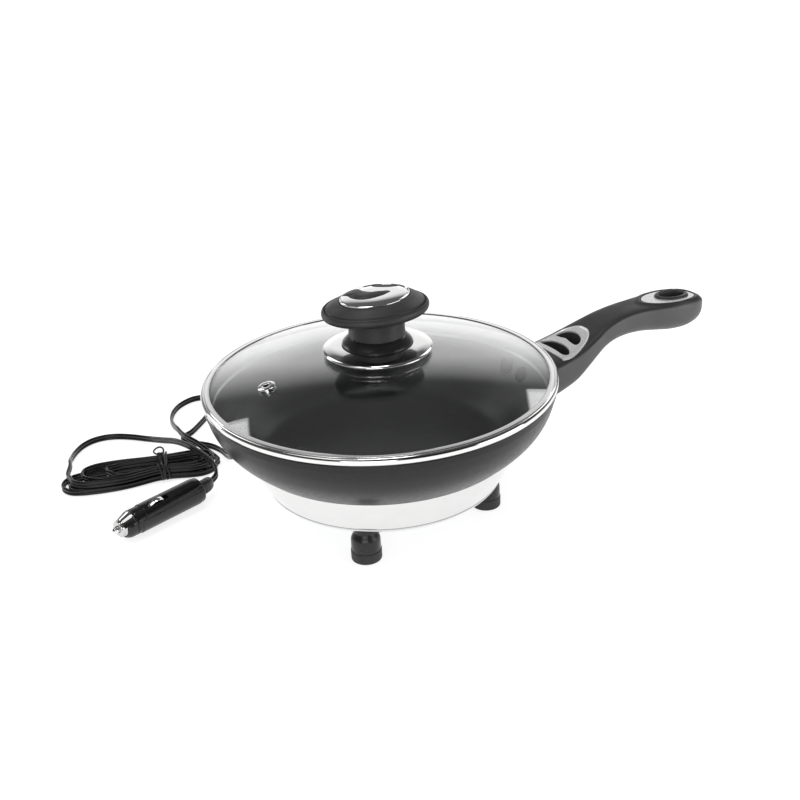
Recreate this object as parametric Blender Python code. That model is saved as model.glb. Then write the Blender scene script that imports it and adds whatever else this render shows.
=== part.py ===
"""Car-socket electric frying pan with a loose glass lid, a hanked twin cord and its plug.

Metres, +Z up. The floor is z = 0 and the handle points along +X. The origin is on the floor,
under the middle of the pan and its handle.
"""

import math

import bmesh
import bpy
import numpy as np
from mathutils import Matrix, Vector

# Clearances that seats and bores share
FIT_GAP = 0.0003
SLIDE_GAP = 0.0004
CUT_OVERRUN = 0.004
MERGE_DISTANCE = 0.00002

# Pan bowl, above the heater base and its legs
DRUM_BOTTOM = 0.0280
BASE_DEPTH = 0.0180
BOWL_RADIUS = 0.1285
BOWL_DEPTH = 0.055
BOWL_WALL = 0.0035
BOWL_FLOOR = 0.0042
BOWL_BOTTOM = DRUM_BOTTOM + BASE_DEPTH
BOWL_TOP = BOWL_BOTTOM + BOWL_DEPTH

# Lid
LID_OVERHANG = 0.0015
LID_RADIUS = BOWL_RADIUS + LID_OVERHANG
BAND_SHEET = 0.0009
BAND_SIDE = 0.0060
BAND_FLANGE = 0.0068
GLASS_THICK = 0.0040
GLASS_EDGE_GAP = 0.0026
GLASS_RISE = 0.0220
VENT_INSET = 0.0405
VENT_ANGLE = math.radians(177.6)
VENT_BORE = 0.0022
VENT_NECK = 0.0036
VENT_FLANGE = 0.0064
VENT_FLANGE_THICK = 0.0013

# Knob
KNOB_BOLT_RADIUS = 0.0020
KNOB_BOLT_HEAD = 0.0060
KNOB_WASHER_RADIUS = 0.0085
KNOB_WASHER_THICK = 0.0015
NECK_RADIUS = 0.0202
NECK_HEIGHT = 0.0128
FOOT_FLARE = 0.0048
FOOT_RADIUS = NECK_RADIUS + FOOT_FLARE
FOOT_HEIGHT = 0.0078
FOOT_EDGE_SHARE = 0.12
SEAL_INSET = 0.0025
SEAL_RADIUS = FOOT_RADIUS - SEAL_INSET
SEAL_THICK = 0.0022
DISC_BORDER = 0.0148
DISC_RADIUS = FOOT_RADIUS + DISC_BORDER
DISC_SHEET = 0.0009
DISC_RISE = 0.0019
CAP_LENGTH = 0.0800
CAP_WIDTH = 0.0650
CAP_SKIRT = 0.0028
CAP_SKIRT_SHARE = 0.70
BEAD_THICK = 0.0065
CAP_RISE = 0.0050
CAP_SHOULDER = 0.0130
INLAY_LENGTH = CAP_LENGTH - 2 * CAP_SHOULDER
INLAY_WIDTH = CAP_WIDTH - 2 * CAP_SHOULDER
INLAY_THICK = 0.0011
INLAY_CROWN = 0.0017
INLAY_TURN = math.radians(6)

# Handle: its root sinks behind the bowl's rim, and the part is centred under pan and handle
HANDLE_SINK = 0.0165
HANDLE_LENGTH = 0.1910
HANDLE_ROOT = BOWL_RADIUS - HANDLE_SINK
HANDLE_REACH = HANDLE_ROOT + HANDLE_LENGTH
PAN_X = (LID_RADIUS - HANDLE_REACH) / 2
HANDLE_CREST = 0.0092
HANDLE_TALL = 0.0582
HANDLE_HIGH = BOWL_TOP + HANDLE_CREST
HANDLE_LOW = HANDLE_HIGH - HANDLE_TALL
HANDLE_WIDE = 0.0500
RIVET_DROP = 0.0224
RIVET_HEIGHT = BOWL_TOP - RIVET_DROP
RIVET_SPACING = 0.0212
BRACKET_THICK = 0.0022
BRACKET_MARGIN = 0.0059
BRACKET_WIDE = RIVET_SPACING + 2 * BRACKET_MARGIN
BRACKET_TALL = 0.0142
BRACKET_DROP = 0.0025
RIVET_SHANK = 0.0024
RIVET_HEAD = 0.0054
RIVET_DOME = 0.0028
RIVET_TAIL = 0.0040
RIVET_TAIL_THICK = 0.0016
RIVET_SEAT = 0.0006
RIVET_HEAD_SEAT = 0.0011
TONGUE_WIDE = 0.0120
TONGUE_TALL = 0.0060
TONGUE_REACH = 0.0300
GRIP_SCREW_RADIUS = 0.0019
GRIP_SCREW_HEAD = 0.0038
GRIP_SCREW_HEAD_THICK = 0.0022
FRONT_PLATE_THICK = 0.0010
REAR_PLATE_THICK = 0.0010
REAR_PLATE_SETBACK = 0.0350
REAR_PLATE_PLACE = HANDLE_REACH - REAR_PLATE_SETBACK
REAR_PLATE_LENGTH = 0.0480
REAR_PLATE_WIDTH = 0.0280
RING_SETBACK = 0.0295
RING_PLACE = HANDLE_REACH - RING_SETBACK
RING_HOLE_LENGTH = 0.0235
RING_HOLE_WIDTH = 0.0125
RING_BORDER = 0.00525
RING_LENGTH = RING_HOLE_LENGTH + 2 * RING_BORDER
RING_WIDTH = RING_HOLE_WIDTH + 2 * RING_BORDER
RING_PROUD = 0.0014
RING_NECK_WALL = 0.0022

# Heater base: the drum's top edge laps the bowl's underside and stands a little off it
DRUM_LAP = 0.0106
DRUM_TOP = BOWL_BOTTOM + DRUM_LAP
DRUM_STANDOFF = 0.0018
DRUM_TAPER = 0.0144
DRUM_SHEET = 0.0010
DRUM_CORNER = 0.0026
DRUM_LIP = 0.0040
COVER_THICK = 0.0012
STUD_RADIUS = 0.0030
STUD_PROUD = 0.0018
NUT_ACROSS = 0.0100
NUT_THICK = 0.0050
WASHER_RADIUS = 0.0090
WASHER_THICK = 0.0012
SPREADER_INSET = 0.0158
SPREADER_THICK = 0.0030
ELEMENT_INSET = 0.0398
ELEMENT_TUBE = 0.0066
ELEMENT_GAP_ANGLE = math.radians(34)
PAD_INSET = 0.0278
CUTOUT_RADIUS = 0.0070
CUTOUT_THICK = 0.0060
CUTOUT_INSET = 0.0238
CUTOUT_ANGLE = math.radians(172)
BLOCK_LENGTH = 0.0200
BLOCK_WIDTH = 0.0110
BLOCK_HEIGHT = 0.0090
BLOCK_INSET = 0.0163
WIRE_RADIUS = 0.0011

# Legs
LEG_ANGLES = {"front": math.radians(-128.3), "right": math.radians(-34.8), "rear": math.radians(98.4)}
LEG_INSET = 0.0113
LEG_RADIUS = 0.0106
LEG_TAPER = 0.0004
LEG_CHAMFER = 0.0020
LEG_STEP = 0.0014
LEG_SCREW_RADIUS = 0.0018
LEG_SCREW_HEAD = 0.0036
LEG_SCREW_HEAD_THICK = 0.0022
LEG_SCREW_DEPTH = 0.0120
TIP_HEIGHT = 0.0080
TIP_WALL = 0.0016
TIP_SOLE = 0.0022

# Cord: a flat twin lead that stands on its edge
CORD_WIDTH = 0.0056
CORD_THICK = 0.0028
CORD_EXIT_ANGLE = math.radians(135)
CORD_EXIT_RISE = 0.0136
BUSHING_REACH = 0.0220
BUSHING_ROOT_RADIUS = 0.0062
BUSHING_END_RADIUS = 0.0044
BUSHING_FLANGE_RADIUS = 0.0074
BUSHING_FLANGE_THICK = 0.0022
BUSHING_NECK = 0.0050
HANK_LOOPS = 4.5
HANK_STEPS = 24
HANK_CENTRE = (-0.2400, 0.1430)
HANK_ANGLE = math.radians(-14.3)
HANK_RADIUS = 0.0190
HANK_REACH = 0.0440
HANK_PITCH = 0.0052
HANK_WAIST = 0.34
HANK_WAIST_PLACE = 0.0200
HANK_WAIST_SPREAD = 0.0260
HANK_SHORT_LOOP = 0.0240
HANK_TOP_SETBACK = 0.0090
CORD_REST = 0.0031
LAYER_RISE = 0.0063
CLIMB_START = 2.10
CLIMB_TURNS = 0.30
TIE_SHEET = 0.0008
TIE_WIDTH = 0.0030
TIE_ROOM = 0.0009
TIE_LIFT_SPREAD = 0.0180

# Plug
PLUG_TIP = (-0.2849, 0.0532)
PLUG_ANGLE = math.radians(18.7)
PLUG_LENGTH = 0.0790
PLUG_RADIUS = 0.0105
PLUG_LIFT = 0.0009
PLUG_WALL = 0.0035
PLUG_BORE = PLUG_RADIUS - PLUG_WALL
PLUG_END_WALL = 0.0060
PLUG_SHOULDER = 0.0164
NOSE_TAPER = 0.0039
NOSE_SMALL_RADIUS = PLUG_RADIUS - NOSE_TAPER
NOSE_SMALL_END = 0.0046
NOSE_WALL = 0.0012
NOSE_STEP = 0.0025
NOSE_SPIGOT = PLUG_RADIUS - NOSE_STEP
TIP_RADIUS = 0.0026
TIP_POINT_RADIUS = 0.0012
TIP_FLANGE_ROOM = 0.0008
TIP_FLANGE = NOSE_SMALL_RADIUS - NOSE_WALL - TIP_FLANGE_ROOM
SPRING_RADIUS = 0.0036
SPRING_WIRE = 0.0004
SPRING_LENGTH = 0.0120
SPRING_TURNS = 5
FUSE_RADIUS = 0.0031
FUSE_LENGTH = 0.0315
CONTACT_ROLL = math.radians(71)
CONTACT_PLACE = 0.0385
CONTACT_LENGTH = 0.0190
CONTACT_WIDTH = 0.0036
CONTACT_SHEET = 0.0006
CONTACT_PROUD = 0.0008
CONTACT_FOOT = 0.0020
RELIEF_LENGTH = 0.0130
RELIEF_WIDTH = 0.0072
RELIEF_HEIGHT = 0.0092
RELIEF_SPIGOT = 0.0033
RELIEF_FLANGE = 0.0056
RELIEF_FLANGE_THICK = 0.0015
RELIEF_BEND = math.radians(20)

SEGMENTS = 40
HANDLE_SIDES = 20
ELEMENT_STEPS = 19
CAP_SIDES = 28

# Roundness of the grip's section above and below its middle
TOP_FULLNESS = 3.4
UNDER_FULLNESS = 2.3

# Bowl outline, inside to rim: share of the bowl's radius, share of its depth
BOWL_SHARES = (
    (0.60, 0.0), (0.66, 0.020), (0.73, 0.100), (0.80, 0.227), (0.870, 0.369), (0.942, 0.555), (0.965, 0.664),
    (0.984, 0.782), (1.0, 1.0),
)

# Handle stations: share of the way from root to tip, share of the full width,
# and shares of the height between HANDLE_LOW and HANDLE_HIGH of the top and of the underside
HANDLE_SHARES = (
    (0.000, 0.96, 0.560, 0.010), (0.094, 0.99, 0.590, 0.030), (0.157, 1.00, 0.615, 0.070),
    (0.209, 0.99, 0.643, 0.120), (0.272, 0.96, 0.694, 0.200), (0.330, 0.88, 0.756, 0.335),
    (0.387, 0.77, 0.825, 0.464), (0.435, 0.67, 0.890, 0.550), (0.487, 0.615, 0.940, 0.612),
    (0.545, 0.585, 0.978, 0.641), (0.607, 0.585, 0.997, 0.650), (0.670, 0.63, 1.000, 0.641),
    (0.733, 0.70, 0.997, 0.619), (0.796, 0.728, 0.991, 0.601), (0.859, 0.70, 0.978, 0.601),
    (0.911, 0.61, 0.962, 0.622), (0.953, 0.47, 0.942, 0.661), (0.984, 0.29, 0.905, 0.722),
    (1.000, 0.11, 0.850, 0.780),
)

# Front inlay: share of the way along the handle, then its two sides as shares of the half width there
FRONT_PLATE_SHARES = (
    (0.194, 0.90, 0.82), (0.220, 0.92, 0.81), (0.251, 0.87, 0.79), (0.283, 0.81, 0.775), (0.314, 0.73, 0.745),
    (0.340, 0.635, 0.71), (0.362, 0.50, 0.66), (0.377, 0.34, 0.52), (0.386, 0.20, 0.30),
)

# The two teardrops of the front inlay: share of its length from the root, share of the handle's half width
OUTER_DROP_SHARES = (
    (0.495, 0.58), (0.635, 0.544), (0.757, 0.36), (0.792, 0.052), (0.722, -0.268), (0.595, -0.448),
    (0.505, -0.416), (0.508, -0.148), (0.538, 0.128), (0.500, 0.372),
)
ROOT_DROP_SHARES = (
    (0.110, 0.656), (0.224, 0.568), (0.327, 0.340), (0.365, -0.064), (0.308, -0.476), (0.197, -0.676),
    (0.114, -0.556), (0.122, -0.196), (0.124, 0.188),
)

# The two teardrops of the knob's inlay, as shares of its half length and half width
MAIN_DROP_SHARES = (
    (-0.730, 0.46), (-0.755, 0.146), (-0.585, -0.215), (-0.294, -0.351), (0.057, -0.337), (0.264, -0.263),
    (0.408, -0.176), (0.350, -0.015), (0.120, 0.088), (-0.068, 0.273), (-0.128, 0.512), (-0.090, 0.74),
    (-0.245, 0.80), (-0.528, 0.68),
)
SMALL_DROP_SHARES = (
    (0.415, 0.463), (0.623, 0.273), (0.830, 0.280), (0.710, 0.560), (0.566, 0.690), (0.377, 0.770),
    (0.370, 0.630),
)

# The strain relief's two grooves: share of its taper, share of the groove's depth
BUSHING_GROOVE_SHARES = (
    (0.0, 0), (0.30, 0), (0.34, 1), (0.46, 1), (0.50, 0), (0.66, 0), (0.70, 1), (0.82, 1), (0.86, 0),
)

# The lead from the base to the hank: it turns back behind the pan, loops round and crosses over itself
LEAD_ROUTE = (
    (-0.1685, 0.0990, 0.0220), (-0.1690, 0.1160, 0.0115), (-0.1680, 0.1310, 0.0050),
    (-0.1680, 0.1450, 0.0031), (-0.1720, 0.1570, 0.0031), (-0.1795, 0.1670, 0.0031),
    (-0.1870, 0.1745, 0.0031), (-0.1903, 0.1815, 0.0031), (-0.1870, 0.1880, 0.0031),
    (-0.1790, 0.1925, 0.0031), (-0.1690, 0.2020, 0.0031), (-0.1570, 0.2150, 0.0031),
    (-0.1450, 0.2295, 0.0031), (-0.1385, 0.2430, 0.0031), (-0.1430, 0.2540, 0.0031),
    (-0.1550, 0.2580, 0.0031), (-0.1690, 0.2520, 0.0031), (-0.1797, 0.2405, 0.0031),
    (-0.1865, 0.2250, 0.0034), (-0.1893, 0.2080, 0.0060), (-0.1902, 0.1930, 0.0092),
    (-0.1903, 0.1810, 0.0100), (-0.1880, 0.1700, 0.0098), (-0.1840, 0.1600, 0.0085),
    (-0.1795, 0.1490, 0.0050),
)

# The tail from the hank to the plug: a wide arc behind the hank, then over its right end
TAIL_ROUTE = (
    (-0.2874, 0.1765, 0.0094), (-0.2855, 0.1860, 0.0085), (-0.2818, 0.1985, 0.0050),
    (-0.2760, 0.2105, 0.0033), (-0.2675, 0.2200, 0.0031), (-0.2578, 0.2250, 0.0031),
    (-0.2475, 0.2254, 0.0031), (-0.2370, 0.2215, 0.0031), (-0.2260, 0.2125, 0.0033),
    (-0.2160, 0.1985, 0.0048), (-0.2085, 0.1800, 0.0095), (-0.2022, 0.1610, 0.0150),
    (-0.1970, 0.1440, 0.0172), (-0.1925, 0.1270, 0.0174), (-0.1895, 0.1120, 0.0168),
    (-0.1888, 0.0995, 0.0145), (-0.1908, 0.0920, 0.0125),
)
CORD_STEP = 0.0095

LOOKS = {
    "coated_aluminium": ((0.030, 0.031, 0.034), 0.42, 0.25),
    "polished_steel": ((0.62, 0.62, 0.61), 0.16, 1.0),
    "brushed_aluminium": ((0.66, 0.66, 0.66), 0.30, 1.0),
    "clear_glass": ((0.42, 0.45, 0.46), 0.05, 0.0),
    "soft_touch_black": ((0.028, 0.028, 0.030), 0.55, 0.0),
    "gloss_black": ((0.008, 0.008, 0.009), 0.22, 0.0),
    "black_plastic": ((0.020, 0.020, 0.021), 0.38, 0.0),
    "rubber": ((0.016, 0.016, 0.017), 0.70, 0.0),
    "silicone": ((0.10, 0.10, 0.10), 0.60, 0.0),
    "galvanised_steel": ((0.42, 0.43, 0.44), 0.42, 1.0),
    "brass": ((0.60, 0.44, 0.18), 0.30, 1.0),
    "insulation": ((0.68, 0.64, 0.54), 0.90, 0.0),
    "heater_sheath": ((0.20, 0.20, 0.21), 0.45, 0.9),
    "cord_vinyl": ((0.012, 0.012, 0.013), 0.40, 0.0),
    "wire_sleeve": ((0.45, 0.06, 0.05), 0.60, 0.0),
    "fuse_glass": ((0.60, 0.62, 0.60), 0.12, 0.0),
}


def clear_scene():
    for old in list(bpy.data.objects):
        bpy.data.objects.remove(old, do_unlink=True)


def look(name):
    material = bpy.data.materials.get(name)
    if material:
        return material
    colour, roughness, metallic = LOOKS[name]
    material = bpy.data.materials.new(name)
    material.use_nodes = True
    shader = material.node_tree.nodes["Principled BSDF"]
    shader.inputs["Base Color"].default_value = (*colour, 1.0)
    shader.inputs["Roughness"].default_value = roughness
    shader.inputs["Metallic"].default_value = metallic
    return material


def place(name, bm, finish, matrix=None, parent=None, cutter=False):
    """Turns a bmesh into a named object; a cutter is kept out of the model."""
    bmesh.ops.remove_doubles(bm, verts=bm.verts, dist=MERGE_DISTANCE)
    bmesh.ops.recalc_face_normals(bm, faces=bm.faces)
    mesh = bpy.data.meshes.new(name)
    bm.to_mesh(mesh)
    bm.free()
    mesh.shade_smooth()
    mesh.set_sharp_from_angle(angle=math.radians(35))
    item = bpy.data.objects.new(name, mesh)
    bpy.context.scene.collection.objects.link(item)
    item.parent = parent
    if matrix is not None:
        item.matrix_local = matrix
    if cutter:
        item.hide_render = True
        item.display_type = "WIRE"
    else:
        mesh.materials.append(look(finish))
    return item


def cut(item, *cutters):
    for cutter in cutters:
        modifier = item.modifiers.new("cut_" + cutter.name, "BOOLEAN")
        modifier.operation = "DIFFERENCE"
        modifier.solver = "EXACT"
        modifier.object = cutter


def turned(outline, segments=SEGMENTS):
    """A closed outline of (radius, height) spun about Z; points on the axis close the shape."""
    bm = bmesh.new()
    verts = [bm.verts.new((radius, 0, height)) for radius, height in outline]
    edges = [bm.edges.new((verts[i], verts[(i + 1) % len(verts)])) for i in range(len(verts))]
    edges = [edge for edge in edges if any(vert.co.x > 0 for vert in edge.verts)]
    bmesh.ops.spin(
        bm, geom=verts + edges, cent=(0, 0, 0), axis=(0, 0, 1), angle=math.tau, steps=segments, use_merge=True
    )
    bmesh.ops.remove_doubles(bm, verts=bm.verts, dist=MERGE_DISTANCE)
    loose = [edge for edge in bm.edges if not edge.link_faces]
    bmesh.ops.delete(bm, geom=loose, context="EDGES")
    loose = [vert for vert in bm.verts if not vert.link_faces]
    bmesh.ops.delete(bm, geom=loose, context="VERTS")
    return bm


def lofted(rings, closed=False):
    """Skins rings of points; the last ring joins the first, or both ends are capped."""
    bm = bmesh.new()
    rows = [[bm.verts.new(point) for point in ring] for ring in rings]
    count = len(rows[0])
    pairs = list(zip(rows[:-1], rows[1:])) + ([(rows[-1], rows[0])] if closed else [])
    for low, high in pairs:
        for i in range(count):
            j = (i + 1) % count
            bm.faces.new((low[i], low[j], high[j], high[i]))
    if not closed:
        bm.faces.new(rows[0])
        bm.faces.new(rows[-1])
    return bm


def prism(outline, low, high):
    """A flat outline of (x, y) points made a solid from height low to height high."""
    return lofted([[(x, y, low) for x, y in outline], [(x, y, high) for x, y in outline]])


def drum_solid(radius, low, high, segments=SEGMENTS // 2, inner=0.0):
    outline = [(inner, low), (radius, low), (radius, high), (inner, high)]
    return turned(outline, segments)


def oval(length, width, count=24):
    turn = np.arange(count) * math.tau / count
    return np.stack([np.cos(turn) * length / 2, np.sin(turn) * width / 2], axis=1)


def box_solid(size, centre=(0, 0, 0)):
    bm = bmesh.new()
    bmesh.ops.create_cube(bm, size=1, matrix=Matrix.Translation(centre) @ Matrix.Diagonal((*size, 1)))
    return bm


def aimed(point, direction):
    """A frame at a point whose Z runs along a direction."""
    turn = Vector(direction).to_track_quat("Z", "Y").to_matrix().to_4x4()
    return Matrix.Translation(point) @ turn


def spline_piece(before, start, end, after, share):
    """A smooth piece from start to end that bends with the points on both sides of it."""
    return 0.5 * (
        2 * start + (end - before) * share
        + (2 * before - 5 * start + 4 * end - after) * share**2
        + (3 * start - before - 3 * end + after) * share**3
    )


def smooth_route(points, step):
    """A smooth curve through hand-chosen points, read off at even steps."""
    points = np.array(points, float)
    padded = np.vstack([2 * points[0] - points[1], points, 2 * points[-1] - points[-2]])
    share = np.linspace(0, 1, 24, endpoint=False)[:, None]
    pieces = [spline_piece(*four, share) for four in zip(padded[:-3], padded[1:-2], padded[2:-1], padded[3:])]
    return even_steps(np.vstack(pieces + [points[-1:]]), step)


def even_steps(dense, step):
    along = np.concatenate([[0], np.cumsum(np.linalg.norm(np.diff(dense, axis=0), axis=1))])
    count = max(2, round(along[-1] / step))
    wanted = np.linspace(0, along[-1], count + 1)
    return np.stack([np.interp(wanted, along, dense[:, axis]) for axis in range(3)], axis=1)


def route_length(points):
    return float(np.linalg.norm(np.diff(points, axis=0), axis=1).sum())


def wire(name, points, radius, finish, half_width=0.0, sides=1, parent=None):
    """A tube along points; half_width makes it a flat cord that stands on its edge."""
    curve = bpy.data.curves.new(name, "CURVE")
    curve.dimensions = "3D"
    curve.twist_mode = "Z_UP"
    curve.bevel_depth = radius
    curve.bevel_resolution = sides
    curve.extrude = half_width
    curve.use_fill_caps = True
    spline = curve.splines.new("POLY")
    spline.points.add(len(points) - 1)
    for knot, point in zip(spline.points, points):
        knot.co = (*point, 1)
    item = bpy.data.objects.new(name, curve)
    bpy.context.scene.collection.objects.link(item)
    item.parent = parent
    curve.materials.append(look(finish))
    return item


def bowl_outline():
    """The bowl's outer outline from its flat bottom to the rim, in metres."""
    shares = np.array(BOWL_SHARES)
    return np.stack([shares[:, 0] * BOWL_RADIUS, BOWL_BOTTOM + shares[:, 1] * BOWL_DEPTH], axis=1)


def inset(outline, distance):
    """An open outline moved towards the axis, square to itself."""
    run = np.gradient(outline, axis=0)
    run /= np.linalg.norm(run, axis=1)[:, None]
    return outline + distance * np.stack([-run[:, 1], run[:, 0]], axis=1)


def bowl_radius_at(height):
    outline = bowl_outline()
    return float(np.interp(height, outline[:, 1], outline[:, 0]))


def bowl_lean_at(height):
    """How far the bowl's wall leans out from upright at a height."""
    run = BOWL_WALL
    spread = bowl_radius_at(height + run) - bowl_radius_at(height - run)
    return math.atan2(spread, 2 * run)


def glass_height(radius):
    """Height of the glass's upper face: a shallow sphere, worked out as a parabola."""
    edge = glass_edge()
    apex = glass_edge_top() + GLASS_RISE
    return apex - GLASS_RISE * (radius / edge) ** 2


def glass_edge():
    return LID_RADIUS - BAND_SHEET - GLASS_EDGE_GAP


def vent_place():
    return glass_edge() - VENT_INSET


def band_bottom():
    return BOWL_TOP + FIT_GAP


def glass_edge_top():
    return band_bottom() + BAND_SHEET + FIT_GAP + GLASS_THICK


def build_bowl(pan):
    outer = bowl_outline()
    inner = inset(outer, BOWL_WALL)
    inner[:, 1] = np.maximum(inner[:, 1], BOWL_BOTTOM + BOWL_FLOOR)
    inner = [tuple(point) for point in inner[3:-1] if point[1] > BOWL_BOTTOM + BOWL_FLOOR]
    inner.insert(0, (inner[0][0] - BOWL_FLOOR, BOWL_BOTTOM + BOWL_FLOOR))
    lip = BOWL_RADIUS - BOWL_WALL
    rim = [(BOWL_RADIUS, BOWL_TOP - BOWL_WALL / 3), (BOWL_RADIUS - BOWL_WALL / 4, BOWL_TOP),
           (lip + BOWL_WALL / 4, BOWL_TOP), (lip, BOWL_TOP - BOWL_WALL / 3)]
    outline = [(0, BOWL_BOTTOM)] + [tuple(p) for p in outer[:-1]] + rim + inner[::-1]
    outline.append((0, BOWL_BOTTOM + BOWL_FLOOR))
    bowl = place("pan_bowl", turned(outline), "coated_aluminium", parent=pan)
    for side in (-1, 1):
        hole = place(
            f"rivet_hole_{side}",
            drum_solid(RIVET_SHANK + FIT_GAP, -BOWL_WALL - CUT_OVERRUN, BOWL_WALL + CUT_OVERRUN, 12),
            None, rivet_frame(side), pan, cutter=True,
        )
        cut(bowl, hole)
    return bowl


def rivet_frame(side):
    """A frame on the bowl's outer face, its Z square to the wall and pointing out."""
    offset = side * RIVET_SPACING / 2
    radius = bowl_radius_at(RIVET_HEIGHT)
    forward = math.sqrt(radius**2 - offset**2)
    lean = bowl_lean_at(RIVET_HEIGHT)
    out = Vector((forward, offset, 0)).normalized()
    direction = out * math.cos(lean) - Vector((0, 0, math.sin(lean)))
    return aimed((forward, offset, RIVET_HEIGHT), direction)


def build_rivets(pan):
    """Coated rivets: a domed head inside the bowl, a shank through wall and bracket, and a closed tail."""
    back = -BOWL_WALL - RIVET_HEAD_SEAT
    front = bracket_out() + RIVET_SEAT
    quarter = np.linspace(0, math.pi / 2, 4)[:-1]
    dome = [(RIVET_HEAD * math.cos(a), back - RIVET_DOME * math.sin(a)) for a in quarter]
    outline = [(0, back - RIVET_DOME)] + dome[::-1]
    outline += [
        (RIVET_SHANK, back), (RIVET_SHANK, front), (RIVET_TAIL, front),
        (RIVET_TAIL, front + RIVET_TAIL_THICK), (0, front + RIVET_TAIL_THICK),
    ]
    for side, name in ((-1, "rivet_near"), (1, "rivet_far")):
        place(name, turned(outline, 12), "coated_aluminium", rivet_frame(side), pan)


def bracket_out():
    return FIT_GAP + BRACKET_THICK


def wall_patch(low, high, half_width, inner, outer, across=7):
    """A plate that follows the bowl's outer face, with a row at each point of the bowl's outline."""
    rings = []
    between = [height for height in bowl_outline()[:, 1] if low < height < high]
    for height in [low, *between, high]:
        ring = []
        for gap, order in ((inner, 1), (outer, -1)):
            radius = bowl_radius_at(height) + gap
            for share in np.linspace(-1, 1, across)[::order]:
                offset = share * half_width
                ring.append((math.sqrt(radius**2 - offset**2), offset, height))
        rings.append(ring)
    return lofted(rings)


def tongue_box(gap):
    start = bowl_radius_at(RIVET_HEIGHT) + FIT_GAP
    end = start + TONGUE_REACH
    size = (end - start + 2 * gap, TONGUE_WIDE + 2 * gap, TONGUE_TALL + 2 * gap)
    return box_solid(size, ((start + end) / 2, 0, RIVET_HEIGHT))


def screw_place():
    return bowl_radius_at(RIVET_HEIGHT) + TONGUE_REACH * 0.62


def build_bracket(pan):
    """A steel plate riveted to the bowl, with a tongue that the grip slides over."""
    middle = RIVET_HEIGHT - BRACKET_DROP
    low, high = middle - BRACKET_TALL / 2, middle + BRACKET_TALL / 2
    bracket = place(
        "handle_bracket", wall_patch(low, high, BRACKET_WIDE / 2, FIT_GAP, bracket_out()),
        "galvanised_steel", parent=pan,
    )
    tongue = place("tongue", tongue_box(0), None, parent=pan, cutter=True)
    join = bracket.modifiers.new("join_tongue", "BOOLEAN")
    join.operation = "UNION"
    join.object = tongue
    behind = wall_patch(low - BRACKET_TALL, high + BRACKET_TALL, BRACKET_WIDE, -CUT_OVERRUN, FIT_GAP)
    cut(bracket, place("behind_bracket", behind, None, parent=pan, cutter=True))
    for side in (-1, 1):
        hole = drum_solid(RIVET_SHANK + FIT_GAP, -CUT_OVERRUN, CUT_OVERRUN + BRACKET_THICK, 12)
        cut(bracket, place(f"bracket_hole_{side}", hole, None, rivet_frame(side), pan, cutter=True))
    thread = drum_solid(GRIP_SCREW_RADIUS + FIT_GAP, -TONGUE_TALL, TONGUE_TALL, 12)
    spot = Matrix.Translation((screw_place(), 0, RIVET_HEIGHT))
    cut(bracket, place("tongue_thread", thread, None, spot, pan, cutter=True))


def handle_stations():
    """Handle stations as metres from the pan's axis: place, half width, top, underside."""
    shares = np.array(HANDLE_SHARES)
    rise = HANDLE_HIGH - HANDLE_LOW
    return np.stack(
        [HANDLE_ROOT + shares[:, 0] * (HANDLE_REACH - HANDLE_ROOT), shares[:, 1] * HANDLE_WIDE / 2,
         HANDLE_LOW + shares[:, 2] * rise, HANDLE_LOW + shares[:, 3] * rise], axis=1)


def handle_at(x):
    stations = handle_stations()
    return [float(np.interp(x, stations[:, 0], stations[:, i])) for i in (1, 2, 3)]


def handle_ring(x, half, top, under):
    middle = (top + under) / 2
    ring = []
    for k in range(HANDLE_SIDES):
        turn = math.tau * (k + 0.5) / HANDLE_SIDES
        c, s = math.cos(turn), math.sin(turn)
        fullness = TOP_FULLNESS if s > 0 else UNDER_FULLNESS
        y = half * math.copysign(abs(c) ** (2 / fullness), c)
        z = middle + (top - middle) * math.copysign(abs(s) ** (2 / fullness), s)
        ring.append((x, y, z))
    return ring


def handle_top(x, y):
    """Height of the grip's upper face, read off the same many-sided section that the grip is made of."""
    upper = handle_ring(x, *handle_at(x))[:HANDLE_SIDES // 2]
    return float(np.interp(-y, [-point[1] for point in upper], [point[2] for point in upper]))


def plate_on_handle(places, rights, lefts, lift, sink, across=6):
    """A curved plate that follows the grip's top face, from sink below it to lift above it."""
    rings = []
    for x, right, left in zip(places, rights, lefts):
        ring = []
        for height, order in ((lift, 1), (-sink, -1)):
            for y in np.linspace(-right, left, across)[::order]:
                ring.append((x, y, handle_top(x, y) + height))
        rings.append(ring)
    return lofted(rings)


def front_plate_grid(gap):
    shares = np.array(FRONT_PLATE_SHARES)
    places = HANDLE_ROOT + shares[:, 0] * (HANDLE_REACH - HANDLE_ROOT)
    halves = np.array([handle_at(x)[0] for x in places])
    rights, lefts = shares[:, 1] * halves + gap, shares[:, 2] * halves + gap
    places[0] -= gap
    places[-1] += gap
    return places, rights, lefts


def rear_plate_grid(gap, count=10):
    turn = np.linspace(math.pi, 0, count + 2)[1:-1]
    places = REAR_PLATE_PLACE + (REAR_PLATE_LENGTH / 2 + gap) * np.cos(turn)
    halves = (REAR_PLATE_WIDTH / 2 + gap) * np.sin(turn)
    return places, halves, halves


def handle_drop(name, shares, parent):
    """A teardrop to cut through the front inlay."""
    places = front_plate_grid(0)[0]
    reach = places[-1] - places[0]
    outline = [(places[0] + along * reach, across * HANDLE_WIDE / 2) for along, across in shares]
    drop = prism(rounded(outline), HANDLE_LOW, HANDLE_HIGH + CUT_OVERRUN)
    return place(name, drop, None, parent=parent, cutter=True)


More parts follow.
